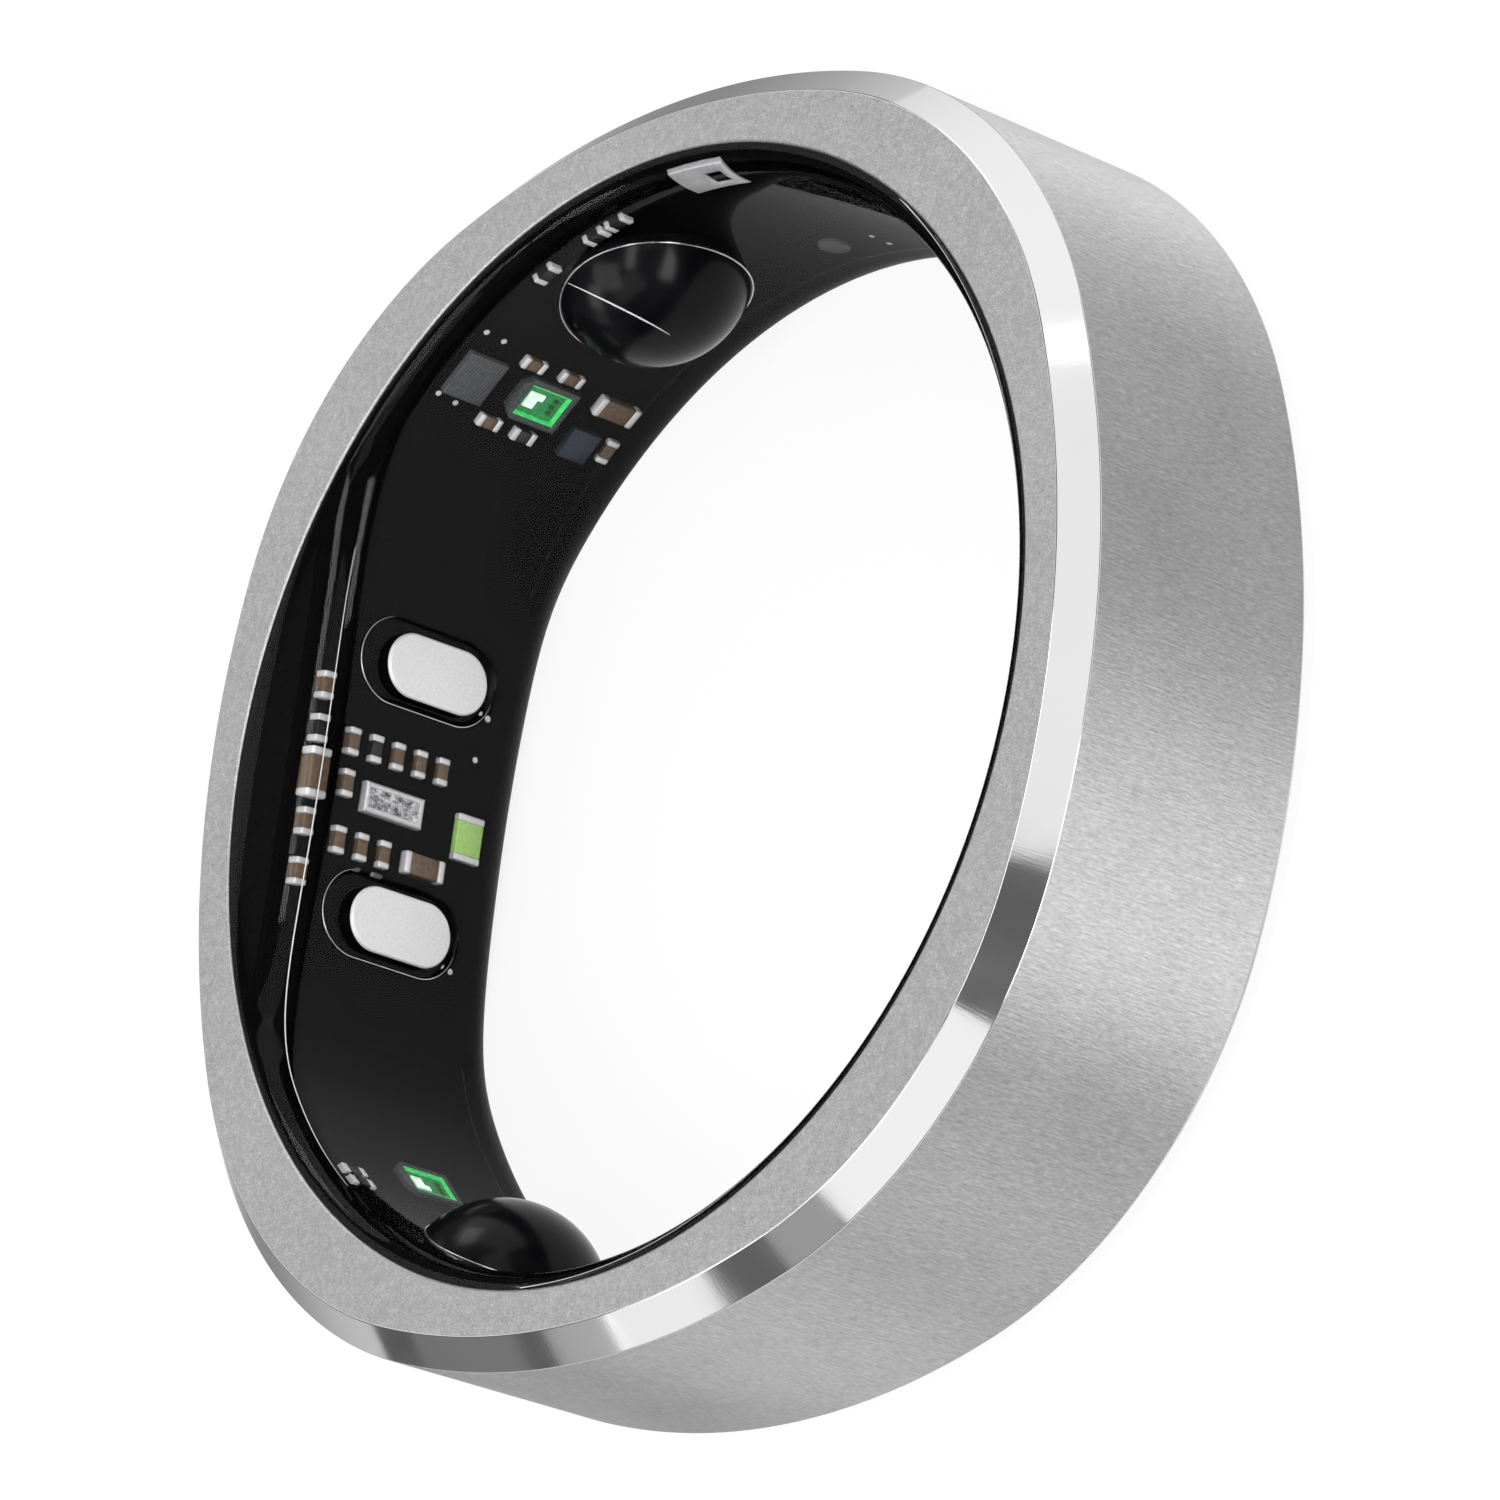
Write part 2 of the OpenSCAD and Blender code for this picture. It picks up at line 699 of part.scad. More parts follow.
// Plated test points on the circuit
module test_points() {
  color("white") {
    for (p = point_flat) on_flat(p[0], p[1]) cylinder(r = point_r, h = point_h);
    for (p = point_light) by_light(1, [p[0], front_end_up + p[1]], 2 * point_r)
      cylinder(r = point_r, h = point_h);
    for (d = point_drop) on_round(point_angle, d - strip_edge, 2 * point_r)
      cylinder(r = point_r, h = point_h);
  }
}

module processor() {
  color([0.15, 0.15, 0.15]) behind_flat(0, 0) block(processor_l, processor_w, processor_h);
}

module charge_controller() {
  color([0.15, 0.15, 0.15]) behind_flat(back_y, 0) block(charger_w, charger_w, charger_h);
}

module power_inductor() {
  color("dimgray") behind_flat(-back_y, 0) block(inductor_l, inductor_l, inductor_h);
}

module crystal() {
  color("silver") behind_flat(0, crystal_up) block(crystal_l, crystal_w, crystal_h);
}

module memory_chip() {
  color([0.15, 0.15, 0.15]) behind_flat(0, -crystal_up - fit_gap) block(crystal_l, memory_w, charger_h);
}

outer_shell();
inner_liner();
sensor_dome_upper();
sensor_dome_lower();
charge_contact_upper();
charge_contact_lower();
flex_circuit();
carrier_frame();
battery_cell();
battery_tabs();
light_housing_upper();
light_housing_lower();
light_chips_upper();
light_chips_lower();
photodiode_upper();
photodiode_lower();
sensor_front_end();
power_chip();
motion_sensor();
charge_fuse();
charge_fuse_ends();
small_capacitors();
small_capacitor_ends();
large_capacitors();
large_capacitor_ends();
resistors();
resistor_ends();
skin_thermometer();
antenna_clip();
test_points();
processor();
charge_controller();
memory_chip();
crystal();
power_inductor();
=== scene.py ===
import math

import bmesh
import bpy
import numpy as np
from mathutils import Matrix, Vector


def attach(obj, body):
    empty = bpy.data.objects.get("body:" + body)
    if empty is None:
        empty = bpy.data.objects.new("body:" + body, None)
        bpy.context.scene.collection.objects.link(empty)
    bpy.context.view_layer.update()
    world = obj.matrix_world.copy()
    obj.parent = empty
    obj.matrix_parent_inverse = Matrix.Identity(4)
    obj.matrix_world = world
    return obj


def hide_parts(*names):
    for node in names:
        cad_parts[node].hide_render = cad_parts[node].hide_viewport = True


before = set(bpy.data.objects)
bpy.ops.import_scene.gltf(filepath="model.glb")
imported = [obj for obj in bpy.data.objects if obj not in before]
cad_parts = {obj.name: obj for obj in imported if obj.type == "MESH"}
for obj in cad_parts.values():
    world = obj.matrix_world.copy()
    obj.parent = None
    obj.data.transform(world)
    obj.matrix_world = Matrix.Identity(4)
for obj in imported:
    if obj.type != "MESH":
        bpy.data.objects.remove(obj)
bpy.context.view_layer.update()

MM = 0.001
# Sizes in millimetres, as the CAD has them unless the comment says otherwise
W = 6.8                                  # ring width along its axis
MID = W / 2
BORE = 12.0                              # radius of the shell's metal opening
HALF, REACH, CORNER = 13.496, 14.196, 10.4  # the outline: 4 um inside the CAD's, to stay in its box
TURN = math.radians(6)                   # turn of the rounded square
CH = 0.6                                 # chamfer
CAVITY, RIM = 12.95, 0.85                # the shell's inner hollow: its radius and how deep it starts
FINGER, FLAT = 11.5, 10.05               # the liner's round wall and its flat
LIP, LIP_MORE = 0.8, 0.55                # depth of the rounded lip, and how much deeper it is on the flat
LIP_FADE = math.radians(50)              # angle from the middle of the flat at which the extra depth ends
LIP_BACK, FLAT_BACK = 0.47, BORE + 0.18 - FLAT  # how far the lip runs outwards, on the wall and on the flat
INSET = 0.05                             # the liner's end faces below the shell's
FLEX_R = 12.02                           # inner radius of the circuit film
DOME_R, DOME_C, DOME_A = 2.23, 12.29, math.radians(67)
DOME_FOOT = 11.83                        # distance from the axis at which a dome ends inside the resin
PAD_Y, PAD_L, PAD_W, PAD_UP = 2.8, 2.75, 1.42, 0.12
PAD_BACK = 10.4                          # distance of a contact's back from the axis
DISH_W, DISH_DEEP = 1.95, 0.15           # the dish round a contact: its width and depth
DISH_UP, DISH_DOWN = 0.75, 0.265         # how far the dish runs past the contact's ends
DISH_MID = MID + (DISH_UP - DISH_DOWN) / 2
LIGHT_A, LIGHT_W, LIGHT_L, LIGHT_H = math.radians(47.6), 1.1, 1.47, 0.4
GLINT = 0.24                             # share of the resin's surface reflection that is kept


# Materials
class Nodes:
    """Shorthand for one material's node tree. Its lengths are millimetres of the object."""

    def __init__(self, name):
        self.mat = bpy.data.materials.new(name)
        self.mat.use_nodes = True
        self.t = self.mat.node_tree
        self.bsdf = self.t.nodes["Principled BSDF"]
        self.out = self.t.nodes["Material Output"]

    def new(self, kind, **props):
        n = self.t.nodes.new(kind)
        for k, v in props.items():
            setattr(n, k, v)
        return n

    def link(self, a, b):
        self.t.links.new(a, b)

    def put(self, sock, v):
        if hasattr(v, "is_output"):
            self.link(v, sock)
        else:
            sock.default_value = v

    def math(self, op, a, b=0.0, c=0.0):
        n = self.new("ShaderNodeMath", operation=op)
        for s, v in zip(n.inputs, (a, b, c)):
            self.put(s, v)
        return n.outputs[0]

    def mm(self, turn=(0, 0, 0)):
        """Object coordinates in millimetres, turned by three angles."""
        c = self.new("ShaderNodeTexCoord")
        m = self.new("ShaderNodeMapping")
        m.inputs["Scale"].default_value = (1 / MM, 1 / MM, 1 / MM)
        m.inputs["Rotation"].default_value = turn
        self.link(c.outputs["Object"], m.inputs["Vector"])
        return m.outputs[0]

    def noise(self, vec, scale, detail=3.0, rough=0.5):
        n = self.new("ShaderNodeTexNoise")
        self.link(vec, n.inputs["Vector"])
        n.inputs["Scale"].default_value = scale
        n.inputs["Detail"].default_value = detail
        n.inputs["Roughness"].default_value = rough
        return n.outputs["Fac"]

    def ramp(self, fac, stops):
        n = self.new("ShaderNodeValToRGB")
        e = n.color_ramp.elements
        while len(e) < len(stops):
            e.new(0.5)
        for el, (pos, col) in zip(e, stops):
            el.position = pos
            el.color = (*col, 1)
        self.link(fac, n.inputs[0])
        return n.outputs[0]

    def spread(self, v, lo, hi):
        """The middle of a noise, 0.3 to 0.7, spread from lo to hi."""
        n = self.new("ShaderNodeMapRange")
        self.link(v, n.inputs[0])
        for i, x in zip((1, 2, 3, 4), (0.3, 0.7, lo, hi)):
            n.inputs[i].default_value = x
        return n.outputs[0]

    def bump(self, height, strength, dist):
        n = self.new("ShaderNodeBump")
        n.inputs["Strength"].default_value = strength
        n.inputs["Distance"].default_value = dist * MM
        self.link(height, n.inputs["Height"])
        self.link(n.outputs[0], self.bsdf.inputs["Normal"])

    def around(self, r, along=1.0, across=1.0):
        """Coordinates laid round the axis at radius r: scaled arc length and height, in millimetres."""
        c = self.new("ShaderNodeTexCoord")
        s = self.new("ShaderNodeSeparateXYZ")
        self.link(c.outputs["Object"], s.inputs[0])
        a = self.math("ARCTAN2", s.outputs[1], s.outputs[0])
        arc = self.math("MULTIPLY", a, r * across)
        z = self.math("MULTIPLY", s.outputs[2], along / MM)
        k = self.new("ShaderNodeCombineXYZ")
        self.link(arc, k.inputs[0])
        self.link(z, k.inputs[1])
        return k.outputs[0]

    def base(self, col, rough, metal=0.0, spec=0.5, **more):
        b = self.bsdf.inputs
        self.put(b["Base Color"], (*col, 1) if isinstance(col, tuple) else col)
        self.put(b["Roughness"], rough)
        b["Metallic"].default_value = metal
        b["Specular IOR Level"].default_value = spec
        for k, v in more.items():
            b[k].default_value = v


def grey(v):
    return (v, v, v)


def mat_blasted():
    n = Nodes("titanium_blasted")
    p = n.mm()
    fine = n.noise(p, 26, 2, 0.6)
    mid = n.noise(p, 7, 3, 0.6)
    cloud = n.noise(p, 0.35, 2)
    mix = n.math("MULTIPLY_ADD", mid, 0.35, n.math("MULTIPLY", fine, 0.65))
    col = n.ramp(mix, [(0.3, grey(0.36)), (0.5, grey(0.50)), (0.7, grey(0.72))])
    n.base(col, n.spread(cloud, 0.40, 0.50), 1.0)
    n.bump(mix, 0.55, 0.030)
    return n.mat


def mat_polished():
    n = Nodes("titanium_polished")
    p = n.mm()
    smear = n.noise(p, 0.6, 2)
    fine = n.noise(n.around(13.5, along=1, across=8), 3, 2)
    n.base((0.66, 0.66, 0.665), n.spread(smear, 0.06, 0.12), 1.0)
    # dark edge tint: keeps the chamfer apart from the white floor where it is seen at a flat angle
    n.bsdf.inputs["Specular Tint"].default_value = (*grey(0.3), 1)
    n.bump(fine, 0.03, 0.01)
    return n.mat


def mat_barrel():
    """Satin barrel: fine scratches along the axis, and a highlight drawn out along it too."""
    n = Nodes("titanium_satin")
    hair = n.noise(n.around(13.8, along=0.9, across=5.0), 5.0, 3, 0.65)
    long = n.noise(n.around(13.8, along=0.25, across=5.0), 4.0, 2, 0.6)
    cloud = n.noise(n.mm(), 0.35, 3)
    mix = n.math("MULTIPLY_ADD", long, 0.35, n.math("MULTIPLY", hair, 0.65))
    col = n.ramp(mix, [(0.30, grey(0.36)), (0.5, grey(0.51)), (0.66, grey(0.65)), (0.8, grey(0.77))])
    n.base(col, n.spread(cloud, 0.47, 0.54), 1.0)
    n.bsdf.inputs["Anisotropic"].default_value = 1.0
    n.bsdf.inputs["Anisotropic Rotation"].default_value = 0.25
    brushed = n.new("ShaderNodeTangent", direction_type="RADIAL", axis="Z")
    n.link(brushed.outputs[0], n.bsdf.inputs["Tangent"])
    n.bump(mix, 0.5, 0.02)
    return n.mat


def mat_cavity():
    n = Nodes("titanium_machined")
    rings = n.noise(n.around(12.9, along=6, across=0.2), 4, 3)
    n.base(n.ramp(rings, [(0.3, grey(0.35)), (0.7, grey(0.5))]), 0.4, 1.0)
    n.bump(rings, 0.2, 0.01)
    return n.mat


def mat_resin():
    """Clear casting resin: it refracts, with a soft surface glint, and lets lamp light through."""
    n = Nodes("clear_resin")
    dust = n.noise(n.mm(), 5, 2)
    swirl = n.noise(n.mm(), 0.5, 2)
    through = n.new("ShaderNodeBsdfRefraction")
    through.inputs["Color"].default_value = (0.95, 0.95, 0.96, 1)
    through.inputs["Roughness"].default_value = 0.0
    through.inputs["IOR"].default_value = 1.49
    glint = n.new("ShaderNodeBsdfGlossy")
    glint.inputs["Color"].default_value = (1, 1, 1, 1)
    n.link(n.spread(dust, 0.03, 0.07), glint.inputs["Roughness"])
    bump = n.new("ShaderNodeBump")
    bump.inputs["Strength"].default_value = 0.05
    bump.inputs["Distance"].default_value = 0.03 * MM
    n.link(swirl, bump.inputs["Height"])
    fr = n.new("ShaderNodeFresnel")
    fr.inputs["IOR"].default_value = 1.49
    for node in (through, glint, fr):
        n.link(bump.outputs[0], node.inputs["Normal"])
    body = n.new("ShaderNodeMixShader")
    n.link(n.math("MULTIPLY", fr.outputs[0], GLINT), body.inputs[0])
    n.link(through.outputs[0], body.inputs[1])
    n.link(glint.outputs[0], body.inputs[2])
    lp = n.new("ShaderNodeLightPath")
    ask = n.math("MAXIMUM", lp.outputs["Is Shadow Ray"], lp.outputs["Is Diffuse Ray"])
    clear = n.new("ShaderNodeBsdfTransparent")
    clear.inputs[0].default_value = (0.92, 0.92, 0.93, 1)
    mix = n.new("ShaderNodeMixShader")
    n.link(ask, mix.inputs[0])
    n.link(body.outputs[0], mix.inputs[1])
    n.link(clear.outputs[0], mix.inputs[2])
    n.link(mix.outputs[0], n.out.inputs[0])
    return n.mat


def mat_dome():
    """Black-tinted casting resin of the sensor domes."""
    n = Nodes("dome_resin")
    p = n.mm()
    tint = n.ramp(n.noise(p, 1.2, 2), [(0.3, (0.003, 0.003, 0.004)), (0.7, (0.007, 0.007, 0.008))])
    n.base(tint, n.spread(n.noise(p, 1.5, 1), 0.17, 0.21), spec=0.15, IOR=1.45)
    return n.mat


def mat_contact():
    n = Nodes("contact_plating")
    p = n.mm()
    grain = n.noise(p, 16, 4, 0.7)
    cloud = n.noise(p, 1.4, 3)
    col = n.ramp(grain, [(0.3, grey(0.80)), (0.7, grey(0.93))])
    n.base(col, n.spread(cloud, 0.42, 0.55), 0.35)
    n.bump(grain, 0.35, 0.012)
    return n.mat


def plain(name, lo, hi, rough, metal=0.0, scale=6.0, bump=0.2, spec=0.5, **more):
    """A moulded, fired or plated surface: mottled colour, fine bump, uneven roughness."""
    n = Nodes(name)
    p = n.mm()
    a = n.noise(p, scale, 4, 0.6)
    b = n.noise(p, scale * 4, 2, 0.6)
    n.base(n.ramp(a, [(0.3, lo), (0.7, hi)]), n.spread(b, rough * 0.8, rough * 1.25), metal, spec, **more)
    n.bump(b, bump, 0.01)
    return n.mat


def mat_film():
    """Matt black cover film."""
    n = Nodes("circuit_film")
    grain = n.noise(n.mm(), 14, 3)
    col = n.ramp(grain, [(0.3, grey(0.0022)), (0.7, grey(0.0040))])
    n.base(col, n.spread(grain, 0.5, 0.6), spec=0.0, IOR=1.0)
    n.bump(grain, 0.05, 0.005)
    return n.mat


def mat_hatch():
    """Grey package top with the fine diagonal hatch of a ground marking."""
    n = Nodes("chip_grey")
    p = n.mm(turn=(0.7, 0.5, 0.9))
    w = n.new("ShaderNodeTexWave", wave_type="BANDS", bands_direction="X")
    n.link(p, w.inputs["Vector"])
    w.inputs["Scale"].default_value = 5.0
    w.inputs["Distortion"].default_value = 2.5
    w.inputs["Detail"].default_value = 2.0
    g = n.noise(n.mm(), 9, 4, 0.7)
    m = n.math("MULTIPLY_ADD", w.outputs["Fac"], 0.3, n.math("MULTIPLY", g, 0.7))
    dark, mid, light = (0.05, 0.052, 0.055), (0.10, 0.103, 0.107), (0.17, 0.173, 0.177)
    n.base(n.ramp(m, [(0.25, dark), (0.6, mid), (0.8, light)]), 0.4)
    n.bump(m, 0.25, 0.01)
    return n.mat


def mat_glow(name, col, strength, rough=0.35):
    """A piece with mottled colour and light of its own: an emitter, or a surface with an emitter's light
    painted on it.
    """
    n = Nodes(name)
    a = n.noise(n.mm(), 7, 3)
    tint = n.ramp(a, [(0.3, tuple(c * 0.6 for c in col)), (0.7, col)])
    n.base(tint, n.spread(a, rough * 0.8, rough * 1.2))
    n.link(tint, n.bsdf.inputs["Emission Color"])
    n.bsdf.inputs["Emission Strength"].default_value = strength
    return n.mat


def mat_granular():
    """Silver chip top with a coarse dark grain, its print left bare."""
    n = Nodes("chip_granular")
    p = n.mm()
    big = n.noise(p, 4.5, 3, 0.6)
    fine = n.noise(p, 16, 3, 0.7)
    m = n.math("MULTIPLY_ADD", big, 0.55, n.math("MULTIPLY", fine, 0.45))
    n.base(n.ramp(m, [(0.40, grey(0.04)), (0.50, grey(0.42)), (0.60, grey(0.92))]), 0.42, 0.2)
    n.bump(m, 0.6, 0.02)
    return n.mat


M = {
    "blasted": mat_blasted(), "polished": mat_polished(), "barrel": mat_barrel(), "cavity": mat_cavity(),
    "resin": mat_resin(), "dome": mat_dome(), "contact": mat_contact(), "film": mat_film(),
    # black ground on the liner's outer wall, also used as painted shade on the contacts' side walls
    "ground_and_painted_shade": plain("liner_ground", grey(0.002), grey(0.004), 0.4, scale=3, spec=0.0, IOR=1.0),
    "carrier": plain("carrier_plastic", grey(0.004), grey(0.007), 0.6, spec=0.0, IOR=1.0),
    "foil": plain("battery_foil", grey(0.45), grey(0.6), 0.35, 1.0),
    "gold": plain("gold_plating", (0.75, 0.52, 0.2), (0.85, 0.62, 0.28), 0.3, 1.0),
    "housing": plain("housing_plastic", (0.035, 0.045, 0.045), (0.075, 0.085, 0.085), 0.25),
    "glass": plain("chip_glass", (0.01, 0.012, 0.03), (0.02, 0.025, 0.05), 0.12),
    "hatch": mat_hatch(),
    "blue": plain("chip_blue", (0.012, 0.018, 0.03), (0.03, 0.042, 0.062), 0.35, scale=10),
    "silver": plain("chip_silver", grey(0.72), grey(0.88), 0.34, 0.3, scale=9, bump=0.3),
    "green": plain("fuse_green", (0.46, 0.82, 0.20), (0.60, 0.94, 0.30), 0.3, scale=8),
    "ceramic": plain("capacitor_ceramic", (0.11, 0.070, 0.040), (0.21, 0.14, 0.085), 0.35, scale=11),
    "black": plain("resistor_black", grey(0.006), grey(0.016), 0.3, scale=10),
    "tin": plain("solder_tin", (0.80, 0.80, 0.79), (0.94, 0.94, 0.93), 0.35, 0.25, scale=12, bump=0.4),
    "package": plain("chip_black", grey(0.012), grey(0.022), 0.45),
    "glow": mat_glow("emitter_glow", (0.80, 0.95, 0.84), 0.9),
    # painted light: the walls and floor of a light well glow with the emitter's light
    "painted_glow_wall": mat_glow("emitter_light_painted_on_wall", (0.06, 0.62, 0.16), 0.75, 0.25),
    "painted_glow_floor": mat_glow("emitter_light_painted_on_floor", (0.015, 0.17, 0.045), 0.9, 0.25),
    "chiplet": plain("emitter_chiplet", (0.012, 0.05, 0.012), (0.06, 0.10, 0.02), 0.25, scale=12),
    "granular": mat_granular(),
    "bead": plain("resin_bead", grey(0.35), grey(0.6), 0.22, 1.0, scale=4),
    # white line material: a painted highlight on the lip and on the upper dome
    "seam": plain("white_line_painted_highlight", grey(0.75), grey(0.92), 0.3, scale=2),
}

# Radius of the rounded edges of the small CAD pieces
ROUND = {
    "small_capacitors": 0.02, "small_capacitor_ends": 0.035,
    "large_capacitors": 0.03, "large_capacitor_ends": 0.05,
    "resistors": 0.012, "resistor_ends": 0.02,
    "charge_fuse": 0.02, "charge_fuse_ends": 0.035,
    "sensor_front_end": 0.02, "power_chip": 0.02, "antenna_clip": 0.02,
    "light_housing_upper": 0.02, "light_housing_lower": 0.02,
    "light_chips_upper": 0.008, "light_chips_lower": 0.008,
    "skin_thermometer": 0.02, "processor": 0.03, "memory_chip": 0.03,
    "charge_controller": 0.03, "crystal": 0.03,
    "power_inductor": 0.05, "battery_tabs": 0.01,
}

# Finish of each CAD piece that keeps its own mesh or lends it to a softened copy
FINISH = {
    "flex_circuit": "film", "carrier_frame": "carrier",
    "battery_cell": "foil", "battery_tabs": "gold",
    "light_housing_upper": "housing", "light_housing_lower": "housing",
    "light_chips_upper": "glow", "light_chips_lower": "glow",
    "photodiode_upper": "glass", "photodiode_lower": "glass",
    "sensor_front_end": "hatch", "power_chip": "blue", "motion_sensor": "silver",
    "charge_fuse": "green", "charge_fuse_ends": "tin",
    "small_capacitors": "ceramic", "small_capacitor_ends": "tin",
    "large_capacitors": "ceramic", "large_capacitor_ends": "tin",
    "resistors": "black", "resistor_ends": "tin",
    "skin_thermometer": "hatch", "antenna_clip": "silver", "test_points": "tin",
    "processor": "package", "charge_controller": "package", "memory_chip": "package",
    "crystal": "silver", "power_inductor": "hatch",
}
for node, key in FINISH.items():
    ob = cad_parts[node]
    ob.data.materials.clear()
    ob.data.materials.append(M[key])


# Mesh helpers
SAME_POINT = 1e-7                        # metres: points nearer than this are one


def make(name, verts, faces, mats, index=None, normals=None, node=None, smooth=True):
    """A mesh piece from millimetre points, which rides on the ring and stands for a node if one is given."""
    me = bpy.data.meshes.new(name)
    points = [tuple(float(c) * MM for c in v) for v in verts]
    me.from_pydata(points, [], [tuple(int(i) for i in f) for f in faces])
    for m in mats:
        me.materials.append(m)
    if index is not None:
        me.polygons.foreach_set("material_index", np.asarray(index, dtype=np.int32))
    me.polygons.foreach_set("use_smooth", np.full(len(me.polygons), smooth))
    me.update()
    if normals is not None:
        me.normals_split_custom_set_from_vertices([tuple(float(c) for c in n) for n in normals])
    ob = bpy.data.objects.new(name, me)
    bpy.context.scene.collection.objects.link(ob)
    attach(ob, "root")
    if node:
        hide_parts(node)
    return ob


def fix_normals(ob, weld=False):
    """Turns every face outwards; weld joins points that lie together first."""
    bm = bmesh.new()
    bm.from_mesh(ob.data)
    if weld:
        bmesh.ops.remove_doubles(bm, verts=bm.verts, dist=SAME_POINT)
    bmesh.ops.recalc_face_normals(bm, faces=bm.faces)
    bm.to_mesh(ob.data)
    bm.free()


def edge_sharp(ob, degrees):
    """Marks the edges sharper than this, so that the rest shades smoothly."""
    bm = bmesh.new()
    bm.from_mesh(ob.data)
    lim = math.radians(degrees)
    for e in bm.edges:
        e.smooth = not (len(e.link_faces) == 2 and e.calc_face_angle(0) > lim)
    bm.to_mesh(ob.data)
    bm.free()


def strips(rows, num, wrap_rows=True):
    """Quads between rows of num points each, closed round each row."""
    faces = []
    for i in range(rows if wrap_rows else rows - 1):
        j = (i + 1) % rows
        for s in range(num):
            t = (s + 1) % num
            faces.append((i * num + s, i * num + t, j * num + t, j * num + s))
    return faces


def turned(points):
    """Points (x, y, t) as x and y, each turned by its own angle t."""
    out = []
    for x, y, t in points:
        out.append((x * math.cos(t) - y * math.sin(t), x * math.sin(t) + y * math.cos(t)))
    return np.array(out)


def outline():
    """Points and outward normals of the rounded-square outline: four side arcs, four corner arcs."""
    diag = (REACH - CORNER) * math.sqrt(0.5)
    m = REACH - CORNER
    s = HALF - CORNER
    g = (m * m - s * s) / (2 * s - math.sqrt(2) * m)
    rs = g + HALF
    join = math.atan2(diag, diag + g)
    pts, nor = [], []
    for q in range(4):
        turn = q * math.pi / 2 + TURN
        for a in np.linspace(-join, join, SIDE_STEPS, endpoint=False):
            pts.append((rs * math.cos(a) - g, rs * math.sin(a), turn))
            nor.append((math.cos(a), math.sin(a), turn))
        for a in np.linspace(join, math.pi / 2 - join, CORNER_STEPS, endpoint=False):
            pts.append((diag + CORNER * math.cos(a), diag + CORNER * math.sin(a), turn))
            nor.append((math.cos(a), math.sin(a), turn))

    return turned(pts), turned(nor)


def turns_left(a, b):
    """True at an outer corner: the line turns left, seen with its normal on the right."""
    return a[0] * b[1] - a[1] * b[0] > 0


def rounded(line, radius, seg=4):
    """Section line with rounded corners, as (u, z, normal u, normal z, run).

    The run is the number of the straight stretch, and below 0 inside a corner.
    """
    pts = [np.array(p, dtype=float) for p in line]
    last = len(pts) - 1
    ahead = [(pts[i + 1] - pts[i]) / np.linalg.norm(pts[i + 1] - pts[i]) for i in range(last)]
    nrm = [np.array([d[1], -d[0]]) for d in ahead]
    out = [(*pts[0], *nrm[0], 0)]
    for i in range(1, last):
        a, b = nrm[i - 1], nrm[i]
        half = math.acos(max(-1, min(1, float(-ahead[i - 1] @ ahead[i])))) / 2
        start = pts[i] - ahead[i - 1] * radius / math.tan(half)
        side = 1 if turns_left(a, b) else -1
        centre = start - a * radius * side
        from_a, to_b = math.atan2(a[1], a[0]), math.atan2(b[1], b[0])
        if to_b - from_a > math.pi:
            to_b -= 2 * math.pi
        elif to_b - from_a < -math.pi:
            to_b += 2 * math.pi
        for k in range(seg + 1):
            g = from_a + (to_b - from_a) * k / seg
            normal = np.array([math.cos(g), math.sin(g)])
            run = i - 1 if k == 0 else (i if k == seg else -i)
            out.append((*(centre + normal * radius * side), *normal, run))
    out.append((*pts[-1], *nrm[-1], last - 1))
    return out


# Outer shell
BLASTED, POLISHED, SATIN, MACHINED = range(4)   # the shell's material slots
OUTER_EDGE, BORE_EDGE = 0.045, 0.08             # radii of the shell's fine edges
SIDE_STEPS, CORNER_STEPS = 72, 64


def bore_edge(up):
    """Rounded edge between a side face and the bore, from the face inwards, as rows of a section."""
    rows = [(BORE + BORE_EDGE, 0.0, 0, 1)]
    for i in range(1, 5):
        a = math.pi / 2 * i / 4
        c, s = math.cos(a), math.sin(a)
        rows.append((BORE + BORE_EDGE * (1 - s), BORE_EDGE * (1 - c), -s, c))
    return [(r, W - d if up else d, nr, nz if up else -nz, BLASTED) for r, d, nr, nz in rows]


